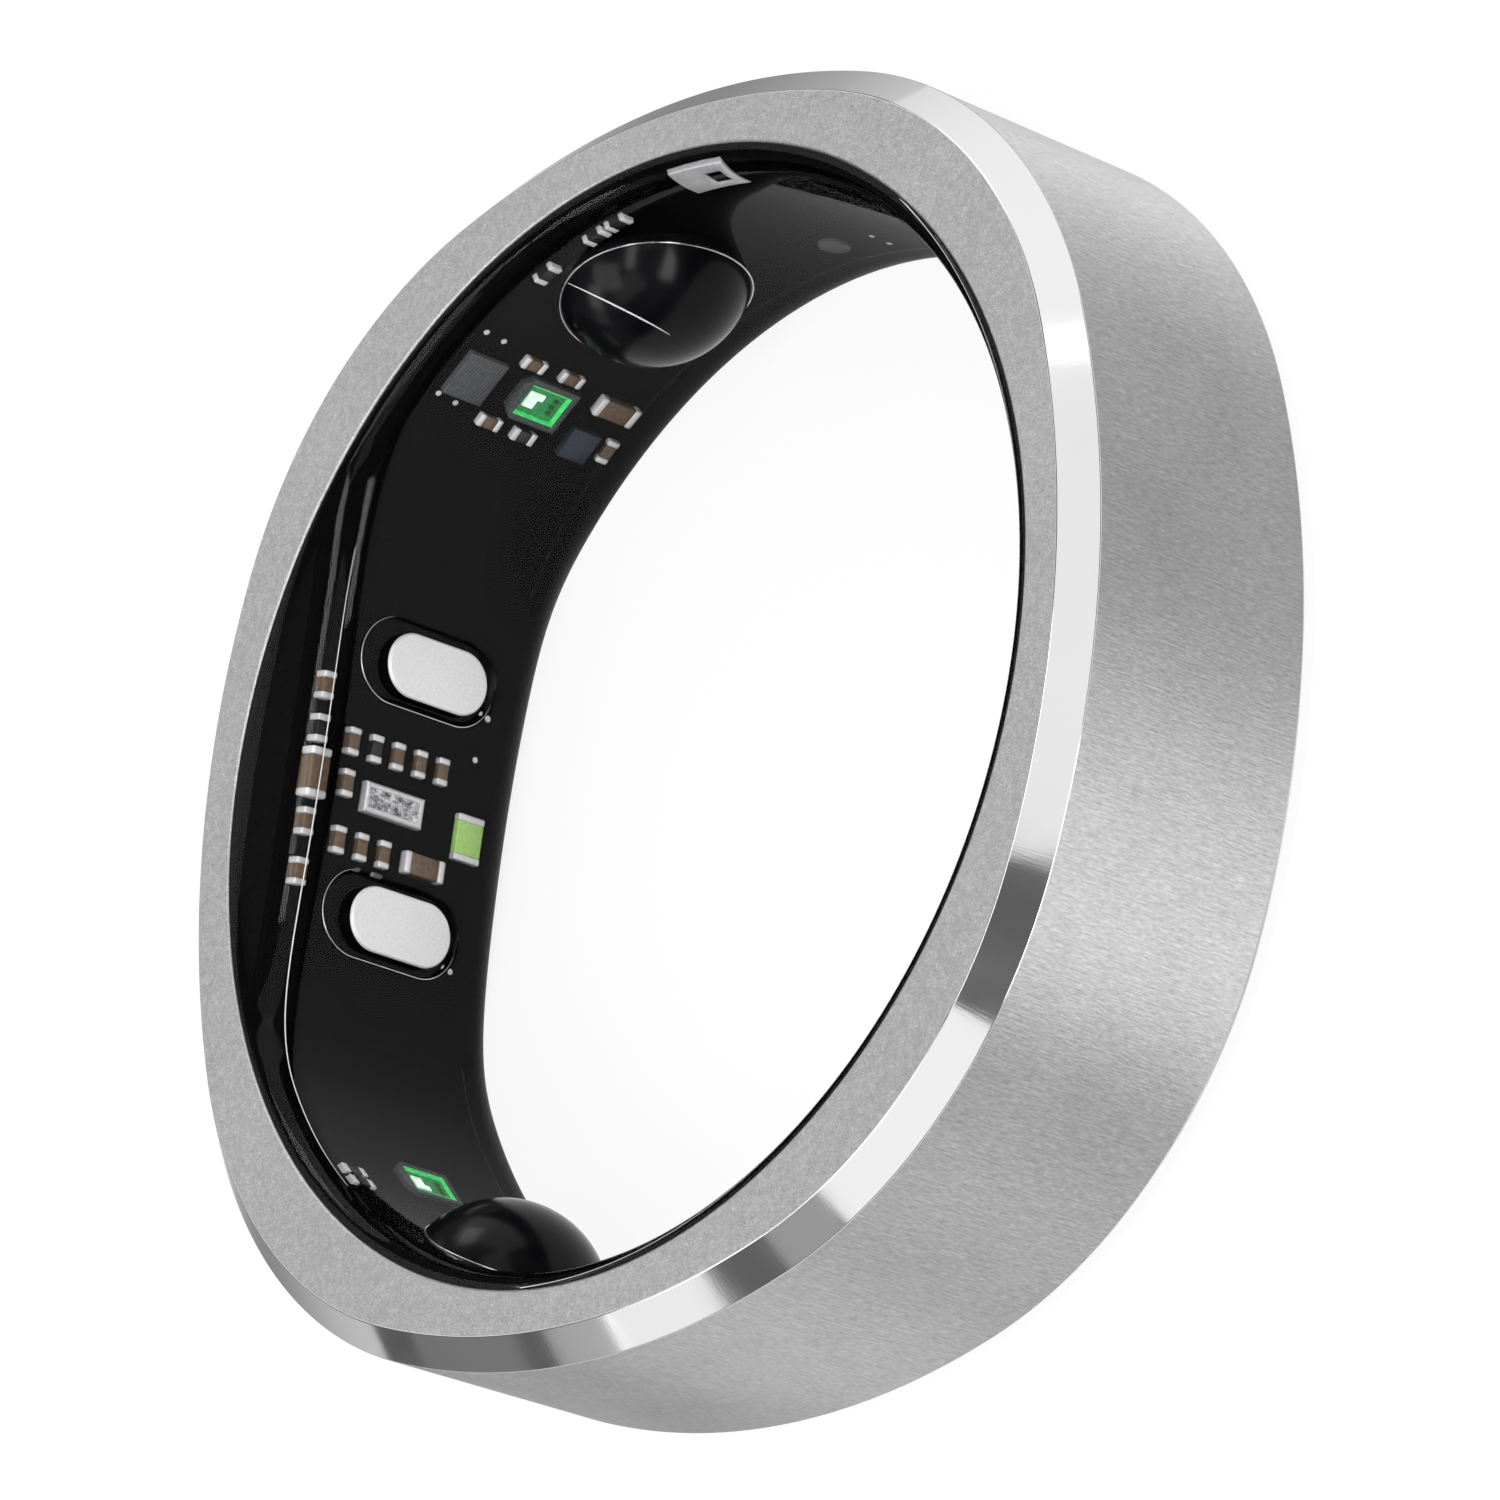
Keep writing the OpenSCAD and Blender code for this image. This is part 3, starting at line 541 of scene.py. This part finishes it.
def shell():
    """The metal band: a section swept along the outline, with a round bore and a hollow behind its rims."""
    p, n = outline()
    # outer line, bottom face to top face: its normals point out of the metal
    face = -CH - 0.45                    # inner end of the swept part of a side face
    outer = rounded([(face, 0), (-CH, 0), (0, CH), (0, W - CH), (-CH, W), (face, W)], OUTER_EDGE)
    zone_outer = (BLASTED, POLISHED, SATIN, POLISHED, BLASTED)
    inner = bore_edge(True)
    inner += [(r, z, nr, nz, MACHINED) for r, z, nr, nz in (
        (BORE, W - RIM, -1, 0), (BORE, W - RIM, 0, -1), (CAVITY, W - RIM, 0, -1), (CAVITY, W - RIM, -1, 0),
        (CAVITY, RIM, -1, 0), (CAVITY, RIM, 0, 1), (BORE, RIM, 0, 1), (BORE, RIM, -1, 0))]
    inner += bore_edge(False)[::-1]
    rows = [("o", *v) for v in outer] + [("i", *v) for v in inner]
    verts, nors = [], []
    num = len(p)
    th = np.arctan2(p[:, 1], p[:, 0])
    radial = np.stack([np.cos(th), np.sin(th)], 1)
    for kind, u, z, nu, nz, _ in rows:
        q, d = (p + n * u, n) if kind == "o" else (radial * u, radial)
        verts.append(np.column_stack([q, np.full(num, z)]))
        nors.append(np.column_stack([d * nu, np.full(num, nz)]))
    faces, index = [], []
    quads = strips(len(rows), num)
    for i, a in enumerate(rows):
        b = rows[(i + 1) % len(rows)]
        if a[0] == b[0] and abs(a[1] - b[1]) + abs(a[2] - b[2]) < 1e-9:
            continue                     # both rows lie on one sharp edge
        if a[0] == b[0] == "o":
            zone = POLISHED if a[5] < 0 or b[5] < 0 else zone_outer[b[5]]
        else:
            zone = BLASTED if a[0] != b[0] else b[5]
        faces += quads[i * num:(i + 1) * num]
        index += [zone] * num
    v = np.concatenate(verts)
    nn = np.concatenate(nors)
    nn /= np.linalg.norm(nn, axis=1)[:, None]
    mats = [M["blasted"], M["polished"], M["barrel"], M["cavity"]]
    make("shell_band", v, faces, mats, index, nn, "outer_shell")


# Liner
SOFT_W, SOFT_MORE = 1.6, 0.5             # width of the soft corner beside the flat, and its extra width above
SOFT_FROM, SOFT_OVER = math.radians(4), math.radians(20)  # where the extra starts, and its ramp
DISH_EDGE, DISH_SLOPE = 0.03, 0.16       # how far outside its outline a dish's slope starts, and its width
FLAT_ENDS, LEAST_COS = 0.3, 0.02         # cosine at which the flat stops counting, and the least divided by
OUT_OF_REACH = 99.0                      # radius that stands for the flat where it doesn't count
BACK_RIM, BACK_FILM = BORE + 0.01, FLEX_R + 0.08  # radii of the liner's back, in the rims and in the film
RIM_END, FILM_START = 0.91, 0.92         # heights between which the back steps from one to the other
GROUND_R, GROUND_Z = (11.975, 11.995), (0.06, 0.88)  # black ground: radii, and heights from each face
TAPE_R, TAPE_Z, TAPE_A = (11.985, 12.012), 0.93, math.radians(4.5)  # tape: radii, height, half angle


def smin(a, b, k):
    """The lower of two values, with a soft turn of width k between them."""
    h = np.maximum(k - np.abs(a - b), 0) / k
    return np.minimum(a, b) - h ** 3 * k / 6


def pill_depth(y, z, cy, cz, length, width):
    """Distance inside a pill that stands along the axis; negative outside."""
    half = (length - width) / 2
    dz = np.maximum(np.abs(z - cz) - half, 0)
    return width / 2 - np.hypot(y - cy, dz)


def smooth(x):
    """Soft step from 0 to 1."""
    x = np.clip(x, 0, 1)
    return x * x * (3 - 2 * x)


def blend(psi):
    """Width of the soft corner between the flat and the round wall: wider on the upper side."""
    return SOFT_W + SOFT_MORE * smooth((psi + SOFT_FROM) / SOFT_OVER)


def lip_depth(psi):
    """Depth of the lip at an angle from the middle of the flat."""
    return LIP + LIP_MORE * np.clip(1 - (psi / LIP_FADE) ** 2, 0, 1) ** 2


def flat_x(q):
    """Distance of the flat from the axis; q runs from 0 on the wall to a quarter turn on the lip's top."""
    return FLAT + FLAT_BACK * (1 - np.cos(q))


def wall_r(psi, q=0.0):
    """Radius of the liner's inner surface at an angle from the middle of the flat; q runs up the lip."""
    far = FINGER + LIP_BACK * (1 - np.cos(q))
    near = np.where(np.cos(psi) > FLAT_ENDS, flat_x(q) / np.maximum(np.cos(psi), LEAST_COS), OUT_OF_REACH)
    return smin(near, far, blend(psi))


def liner():
    """The clear liner: a D-shaped opening with a soft corner, rounded lips and a dish by each contact."""
    dense = np.radians(np.arange(-22, 22.01, 0.2))
    wide = [np.arange(22.5, 52, 0.5), np.arange(52, 308, 1.5), np.arange(308, 337.9, 0.5)]
    wide = np.radians(np.concatenate(wide))
    wide = np.where(wide > math.pi, wide - 2 * math.pi, wide)
    psi = np.concatenate([dense, wide])          # measured from the middle of the flat
    depth = lip_depth(psi)
    steps, mids = 24, 90
    down = (depth - INSET)[None, :]
    q = np.linspace(math.pi / 2, 0, steps + 1)[:, None] + 0 * psi
    top = W - INSET - down * (1 - np.sin(q))
    share = (np.arange(1, mids) / mids)[:, None]
    wall = (W - depth)[None, :] * (1 - share) + depth[None, :] * share
    z = np.concatenate([top, wall, (W - top)[::-1]])
    q = np.concatenate([q, 0 * wall, q[::-1]])
    y0 = flat_x(q) * np.tan(np.clip(psi, -1.2, 1.2))[None, :]
    dish = np.zeros_like(y0)
    for s in (-1, 1):
        d = pill_depth(y0, z, s * PAD_Y, DISH_MID, PAD_L + DISH_UP + DISH_DOWN, DISH_W)
        dish = np.maximum(dish, DISH_DEEP * smooth((d + DISH_EDGE) / DISH_SLOPE))
    r = wall_r(psi[None, :], q) + dish / np.maximum(np.cos(psi), LEAST_COS)[None, :]
    rings = list(np.stack([-r * np.cos(psi), r * np.sin(psi), z], -1))
    # the back lies in the metal rims at both ends, and reaches into the film between them
    half = [(BACK_RIM, INSET), (BACK_RIM, RIM_END), (BACK_FILM, FILM_START)]
    for rb, zb in half + [(r, W - z) for r, z in reversed(half)]:
        rings.append(np.stack([-rb * np.cos(psi), rb * np.sin(psi), np.full(len(psi), zb)], -1))
    faces = strips(len(rings), len(psi))
    ob = make("liner_resin", np.concatenate(rings), faces, [M["resin"]], node="inner_liner")
    fix_normals(ob)
    edge_sharp(ob, 50)


def lathe(profile, a0, a1, n):
    """Turns a closed (r, z) section round the axis, and closes its ends if it isn't a full turn."""
    full = abs(a1 - a0 - 2 * math.pi) < 1e-6
    k = len(profile)
    angles = np.linspace(a0, a1, n, endpoint=not full)
    verts = [(r * math.cos(a), r * math.sin(a), z) for a in angles for r, z in profile]
    faces = []
    for i in range(n if full else n - 1):
        j = (i + 1) % n
        for s in range(k):
            t = (s + 1) % k
            faces.append((i * k + s, j * k + s, j * k + t, i * k + t))
    if not full:
        faces.append(tuple(range(k)))
        faces.append(tuple(reversed(range((n - 1) * k, n * k))))
    return verts, faces


def band(r0, r1, z0, z1):
    """Section of a thin band, for lathe."""
    return [(r0, z0), (r1, z0), (r1, z1), (r0, z1)]


def lip_ground():
    """Black ground printed on the liner's outer wall where the metal rims lie against it."""
    verts, faces = [], []
    low, high = GROUND_Z
    for z0, z1 in ((low, high), (W - high, W - low)):
        v, f = lathe(band(*GROUND_R, z0, z1), 0, 2 * math.pi, 240)
        k = len(verts)
        verts += v
        faces += [tuple(i + k for i in q) for q in f]
    ob = make("liner_ground", verts, faces, [M["ground_and_painted_shade"]])
    edge_sharp(ob, 50)


def seam_tape():
    """Black tape over the gap where the two ends of the circuit film meet."""
    verts, faces = lathe(band(*TAPE_R, TAPE_Z, W - TAPE_Z), -TAPE_A, TAPE_A, 14)
    ob = make("seam_tape", verts, faces, [M["film"]])
    fix_normals(ob)
    edge_sharp(ob, 50)


# Domes
def dome_frame(side):
    """A dome's axis, which points outwards, its two cross directions and its sphere's centre."""
    a = math.pi - side * DOME_A
    axis = np.array([math.cos(a), math.sin(a), 0.0])
    across = np.array([-math.sin(a), math.cos(a), 0.0])
    up = np.array([0, 0, 1.0])
    return axis, across, up, axis * DOME_C + up * MID


def on_sphere(dome_axes, t, b, radius=DOME_R):
    """Point of a dome's sphere at angle t from its tip and b round it."""
    axis, across, up, centre = dome_axes
    return centre + (-axis * math.cos(t) + (across * math.cos(b) + up * math.sin(b)) * math.sin(t)) * radius


def dome(side, end):
    """A sensor dome: the part of a ball that stands out of the round wall, closed inside the resin."""
    rings, n = 40, 96
    fr = dome_frame(side)
    foot = math.acos((DOME_C - DOME_FOOT) / DOME_R)
    verts = [on_sphere(fr, 0, 0)]
    for i in range(1, rings + 1):
        verts += [on_sphere(fr, foot * i / rings, 2 * math.pi * k / n) for k in range(n)]
    faces = [(0, 1 + k, 1 + (k + 1) % n) for k in range(n)]
    faces += [tuple(v + 1 for v in quad) for quad in strips(rings, n, wrap_rows=False)]
    faces.append(tuple(1 + (rings - 1) * n + k for k in range(n)))
    ob = make("dome_" + end, verts, faces, [M["dome"]], node="sensor_dome_" + end)
    fix_normals(ob)
    edge_sharp(ob, 40)


# Contacts
def pill_points(length, width, n=28):
    """Points and outward normals of a pill's outline round its middle."""
    h = (length - width) / 2
    out = []
    for k in range(n + 1):
        a = math.pi * k / n
        out.append((width / 2 * math.cos(a), h + width / 2 * math.sin(a), math.cos(a), math.sin(a)))
    for k in range(n + 1):
        a = math.pi + math.pi * k / n
        out.append((width / 2 * math.cos(a), -h + width / 2 * math.sin(a), math.cos(a), math.sin(a)))
    return out


def contact(side, end):
    """Rounded metal pad whose side wall is painted black as shade round the pad."""
    pts = pill_points(PAD_L, PAD_W)
    e = 0.07                             # radius of the pad's front edge
    front = PAD_UP - FLAT
    rows = [(0.0, -PAD_BACK), (0.0, front - e)]
    for i in range(1, 6):
        a = math.pi / 2 * i / 5
        rows.append((-e * (1 - math.cos(a)), front - e + e * math.sin(a)))
    verts = []
    for inset, x in rows:
        verts += [(x, side * PAD_Y + y + ny * inset, MID + z + nz * inset) for y, z, ny, nz in pts]
    n, steps = len(pts), len(rows) - 1
    faces = strips(len(rows), n, wrap_rows=False)
    faces += [tuple(range(n)), tuple(steps * n + k for k in range(n))]
    # painted shade: the side wall takes the black material, while the rounded edge and the face are plated
    index = [1] * n + [0] * (steps - 1) * n + [1, 0]
    mats = [M["contact"], M["ground_and_painted_shade"]]
    ob = make("contact_" + end, verts, faces, mats, index, node="charge_contact_" + end)
    fix_normals(ob, weld=True)
    edge_sharp(ob, 35)


# Light wells
def local(angle, seat_r, along, across, inwards):
    """A point beside the seat at this angle: along the axis, across it and inwards from the seat."""
    r, c, s = seat_r - inwards, math.cos(angle), math.sin(angle)
    return (r * c - across * s, r * s + across * c, MID + along)


def light_well(side, end):
    """Lining of a light module, four walls and the floor round the emitter, with the emitter's light painted
    on them as a glow of their own.
    """
    a = math.pi - side * LIGHT_A
    seat_r = math.sqrt(FLEX_R ** 2 - (LIGHT_W / 2) ** 2)
    margin, thick = 0.145, 0.035         # from the module's side to the well, and of the lining
    hx, hy = LIGHT_L / 2 - margin, LIGHT_W / 2 - margin
    lo, hi = 0.124, LIGHT_H - 0.035      # heights of the well's floor and of the lining's top
    corners = [(-hx, -hy), (hx, -hy), (hx, hy), (-hx, hy)]
    inner = [(x - math.copysign(thick, x), y - math.copysign(thick, y)) for x, y in corners]
    verts = []
    for ring, h in ((corners, lo), (corners, hi), (inner, hi), (inner, lo + 0.012)):
        verts += [local(a, seat_r, x, y, h) for x, y in ring]
    faces = strips(4, 4, wrap_rows=False)
    index = [0] * len(faces) + [1, 1]
    faces += [(12, 13, 14, 15), (0, 1, 2, 3)]
    # painted light: the walls and floor glow green with the emitter's light
    mats = [M["painted_glow_wall"], M["painted_glow_floor"]]
    ob = make("light_well_" + end, verts, faces, mats, index, smooth=False)
    fix_normals(ob)


# Fine beads, and fine white lines painted as highlights
def tube(name, path, radius, mat, closed=True, sides=8):
    """A fine bead of round section along a line of points; an open one grows thin at its ends."""
    line = np.array(path, dtype=float)
    n = len(line)
    verts = []
    for i, point in enumerate(line):
        after = line[(i + 1) % n] if closed or i < n - 1 else point
        before = line[i - 1] if closed or i > 0 else point
        d = after - before
        d /= np.linalg.norm(d)
        u = np.cross(d, np.array([point[0], point[1], 0.0]))
        u /= np.linalg.norm(u)
        v = np.cross(d, u)
        taper = 1.0 if closed else max(0.15, math.sin(math.pi * (i + 0.5) / n)) ** 0.5
        for k in range(sides):
            b = 2 * math.pi * k / sides
            verts.append(point + (u * math.cos(b) + v * math.sin(b)) * radius * taper)
    faces = strips(n, sides, wrap_rows=closed)
    if not closed:
        faces += [tuple(range(sides)), tuple((n - 1) * sides + k for k in range(sides))]
    fix_normals(make(name, verts, faces, [M[mat]]))


def dome_rim(side, end):
    """Fine bead where a dome comes out of the liner's round wall, found by halving the angle."""
    count, halvings = 160, 30
    proud, thick = 0.01, 0.028           # off the dome and the wall, and the bead's radius
    fr = dome_frame(side)
    path = []
    for k in range(count):
        b = 2 * math.pi * k / count
        lo, hi = 0.0, math.pi / 2
        for _ in range(halvings):
            t = (lo + hi) / 2
            q = on_sphere(fr, t, b, DOME_R + proud)
            if math.hypot(q[0], q[1]) < FINGER - proud:
                lo = t
            else:
                hi = t
        path.append(q)
    tube("dome_rim_" + end, path, thick, "bead")


def lip_painted_highlight():
    """Fine white line along the upper lip of the flat: a painted highlight."""
    q = math.radians(22)                 # its place up the lip
    first, last, count = 26, -54, 110    # degrees from the middle of the flat
    proud, thick = 0.004, 0.016
    path = []
    for psi in np.radians(np.linspace(first, last, count)):
        r = wall_r(psi, q) + proud
        z = W - INSET - (lip_depth(psi) - INSET) * (1 - math.sin(q))
        path.append((-r * math.cos(psi), r * math.sin(psi), z))
    tube("lip_painted_highlight", path, thick, "seam", closed=False, sides=6)


def dish_seam(side, end):
    """Fine raised rim along the open side of a contact's dish."""
    inside, reach = 0.04, 0.95           # how much narrower than the dish, and longer than the contact
    proud, thick = 0.005, 0.018
    width, length = DISH_W - inside, PAD_L + reach
    h = (length - width) / 2
    upper = [(math.radians(a), 1) for a in range(15, 181, 5)]
    lower = [(math.radians(a), -1) for a in range(180, 256, 5)]
    path = []
    for a, s in upper + lower:
        y = side * PAD_Y + width / 2 * math.cos(a)
        psi = math.atan2(y, FLAT)
        r = wall_r(psi) + proud
        path.append((-r * math.cos(psi), r * math.sin(psi), DISH_MID + s * h + width / 2 * math.sin(a)))
    tube("dish_seam_" + end, path, thick, "bead", closed=False, sides=6)


def dome_line():
    """Fine white line on the upper dome, a painted highlight, as a smooth curve through four points on it."""
    axis, across, up, centre = dome_frame(1)
    share_along = (0, 0.3, 0.66, 1.0)
    across_mm = (0.607, 0.043, -0.345, -0.41)   # of each point, from the dome's tip
    up_mm = (1.966, 1.666, 0.97, 0.215)
    count, thick = 60, 0.022
    curve_across = np.polyfit(share_along, across_mm, 3)
    curve_up = np.polyfit(share_along, up_mm, 3)
    path = []
    for x in np.linspace(0, 1, count):
        a, u = np.polyval(curve_across, x), np.polyval(curve_up, x)
        d = math.sqrt(DOME_R ** 2 - a * a - u * u)
        path.append(centre - axis * d + across * a + up * u)
    tube("dome_line_upper", path, thick, "seam", closed=False, sides=6)


# Small parts
def soften(node, radius):
    """A copy of a small CAD piece with its edges rounded, which stands for that piece."""
    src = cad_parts[node]
    me = src.data.copy()
    me.name = node + "_soft"
    bm = bmesh.new()
    bm.from_mesh(me)
    bmesh.ops.remove_doubles(bm, verts=bm.verts, dist=SAME_POINT)
    bmesh.ops.dissolve_limit(bm, angle_limit=math.radians(2), verts=bm.verts, edges=bm.edges)
    edges = [e for e in bm.edges if len(e.link_faces) == 2 and e.calc_face_angle(0) > math.radians(40)]
    bmesh.ops.bevel(bm, geom=edges, offset=radius * MM, offset_type="OFFSET", segments=3, profile=0.5,
                    affect="EDGES", clamp_overlap=True)
    for f in bm.faces:
        f.smooth = True
    bm.to_mesh(me)
    bm.free()
    if node.startswith("light_chips"):
        me.materials.append(M["chiplet"])
        for f in me.polygons:
            f.material_index = int(f.center[2] < (MID - 0.1) * MM)   # only the upper die is lit
    ob = bpy.data.objects.new(node + "_soft", me)
    bpy.context.scene.collection.objects.link(ob)
    ob.matrix_world = src.matrix_world.copy()
    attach(ob, "root")
    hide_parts(node)
    edge_sharp(ob, 40)


def motion_sensor():
    """Silver chip: a bright bevelled frame round a sunk granular top."""
    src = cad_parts["motion_sensor"]
    c = np.array([src.matrix_world @ Vector(v) for v in src.bound_box]) / MM
    (x0, y0, z0), (x1, y1, z1) = c.min(0), c.max(0)
    edge, rim, sink = 0.045, 0.06, 0.035     # bevel, width of the frame, depth of the top below it
    rows = ((0, x0), (0, x1 - edge), (edge * 0.4, x1 - edge * 0.3), (edge, x1), (edge + rim, x1),
            (edge + rim + 0.02, x1 - sink))
    verts = []
    for d, x in rows:
        verts += [(x, y0 + d, z0 + d), (x, y1 - d, z0 + d), (x, y1 - d, z1 - d), (x, y0 + d, z1 - d)]
    faces = strips(len(rows), 4, wrap_rows=False)
    index = [0] * len(faces) + [0, 1]
    faces += [(0, 1, 2, 3), (20, 21, 22, 23)]
    mats = [M["silver"], M["granular"]]
    ob = make("motion_sensor_frame", verts, faces, mats, index, node="motion_sensor", smooth=False)
    fix_normals(ob)


for node, radius in ROUND.items():
    soften(node, radius)
for side, end in ((1, "upper"), (-1, "lower")):
    light_well(side, end)
    dome_rim(side, end)
    dish_seam(side, end)
lip_painted_highlight()
dome_line()
motion_sensor()
shell()
liner()
lip_ground()
seam_tape()
dome(1, "upper")
dome(-1, "lower")
contact(1, "upper")
contact(-1, "lower")


# Stage, light, camera
WORLD = 0.16                             # strength of the world, the same for every ray
FLOOR_WHITE = 0.87                       # the floor's white for camera, glossy and transmission rays
FLOOR_SHADE = 0.15                       # the floor's colour under the lamps
FOCAL_PX, PHOTO_PX = 8602.0, 1500.0      # the camera's focal length, in pixels of the photograph
SENSOR = 36.0                            # millimetres


def stage():
    """Plain floor, white to the camera and in metal and resin, which keeps the ring's soft shadow."""
    me = bpy.data.meshes.new("floor")
    s, z = 4.0, -0.00002                 # metres: half its side, and just below the ring
    me.from_pydata([(-s, -s, z), (s, -s, z), (s, s, z), (-s, s, z)], [], [(0, 1, 2, 3)])
    ob = bpy.data.objects.new("floor", me)
    bpy.context.scene.collection.objects.link(ob)
    n = Nodes("floor_paper")
    n.base(grey(FLOOR_SHADE), 0.9, spec=0.0)
    lp = n.new("ShaderNodeLightPath")
    mirrored = n.math("MAXIMUM", lp.outputs["Is Glossy Ray"], lp.outputs["Is Transmission Ray"])
    seen = n.math("MAXIMUM", lp.outputs["Is Camera Ray"], mirrored)
    em = n.new("ShaderNodeEmission")
    n.link(n.math("MULTIPLY", seen, FLOOR_WHITE), em.inputs["Strength"])
    add = n.new("ShaderNodeAddShader")
    n.link(n.bsdf.outputs[0], add.inputs[0])
    n.link(em.outputs[0], add.inputs[1])
    n.link(add.outputs[0], n.out.inputs[0])
    me.materials.append(n.mat)


def lamp(name, az, el, dist, size, level):
    """A soft rectangular lamp that looks at the ring's middle; level is its surface brightness."""
    target = Vector((0, 0, MID * MM))
    d = bpy.data.lights.new(name, "AREA")
    d.shape = "RECTANGLE"
    d.size, d.size_y = size
    d.energy = level * math.pi * size[0] * size[1]
    ob = bpy.data.objects.new(name, d)
    a, e = math.radians(az), math.radians(el)
    pos = Vector((math.cos(e) * math.cos(a), math.cos(e) * math.sin(a), math.sin(e))) * dist + target
    ob.location = pos
    ob.rotation_euler = (target - pos).to_track_quat("-Z", "Y").to_euler()
    bpy.context.scene.collection.objects.link(ob)


def lights():
    """A dim world and thirteen lamps, each by azimuth, elevation, distance, size and level."""
    w = bpy.data.worlds.new("studio")
    bpy.context.scene.world = w
    w.use_nodes = True
    bg = w.node_tree.nodes["Background"]
    bg.inputs[0].default_value = (1, 1, 1, 1)
    bg.inputs[1].default_value = WORLD
    for name, az, el, dist, size, level in (
            ("right_low", 89, 19, 0.55, (0.64, 0.38), 1.15),
            ("right_high", 33, 43, 0.55, (0.48, 0.24), 1.05),
            ("left", -70, 42, 0.55, (0.38, 0.22), 1.15),
            ("low", -122, 21, 0.55, (0.11, 0.20), 1.1),
            ("low_edge", -131, 16, 0.55, (0.07, 0.20), 0.4),
            ("low_fade", -144, 9, 0.55, (0.11, 0.20), 0.12),
            ("between", -101, 32, 0.55, (0.11, 0.12), 0.3),
            ("back", 161, 42, 0.60, (0.50, 0.36), 1.15),
            ("front", -12, 17, 0.60, (0.42, 0.16), 7.5),
            ("right_band", 106, 32, 0.55, (0.16, 0.20), 3.2),
            ("low_band", -125, 38, 0.55, (0.14, 0.20), 4.0),
            ("strip", -5, 62, 0.55, (0.44, 0.09), 7.0),
            ("top", -100, 60, 0.60, (0.34, 0.28), 3.4)):
        lamp(name, az, el, dist, size, level)


def camera():
    """The photograph's camera, as fitted to the rims of the metal opening and the liner."""
    c = bpy.data.cameras.new("camera")
    c.sensor_fit = "HORIZONTAL"
    c.sensor_width = SENSOR
    c.lens = FOCAL_PX / PHOTO_PX * SENSOR
    c.clip_start, c.clip_end = 0.01, 20.0
    ob = bpy.data.objects.new("camera", c)
    bpy.context.scene.collection.objects.link(ob)
    right = Vector((0.66588, 0.13212, -0.73426))
    up = Vector((0.10082, 0.95923, 0.26404))
    ahead = Vector((-0.73921, 0.24985, -0.62542))
    m = Matrix((right, up, -ahead)).transposed().to_4x4()
    m.translation = Vector((130.123, -43.775, 112.994)) * MM
    ob.matrix_world = m
    bpy.context.scene.camera = ob


stage()
lights()
camera()
bpy.context.scene.view_settings.view_transform = "Standard"
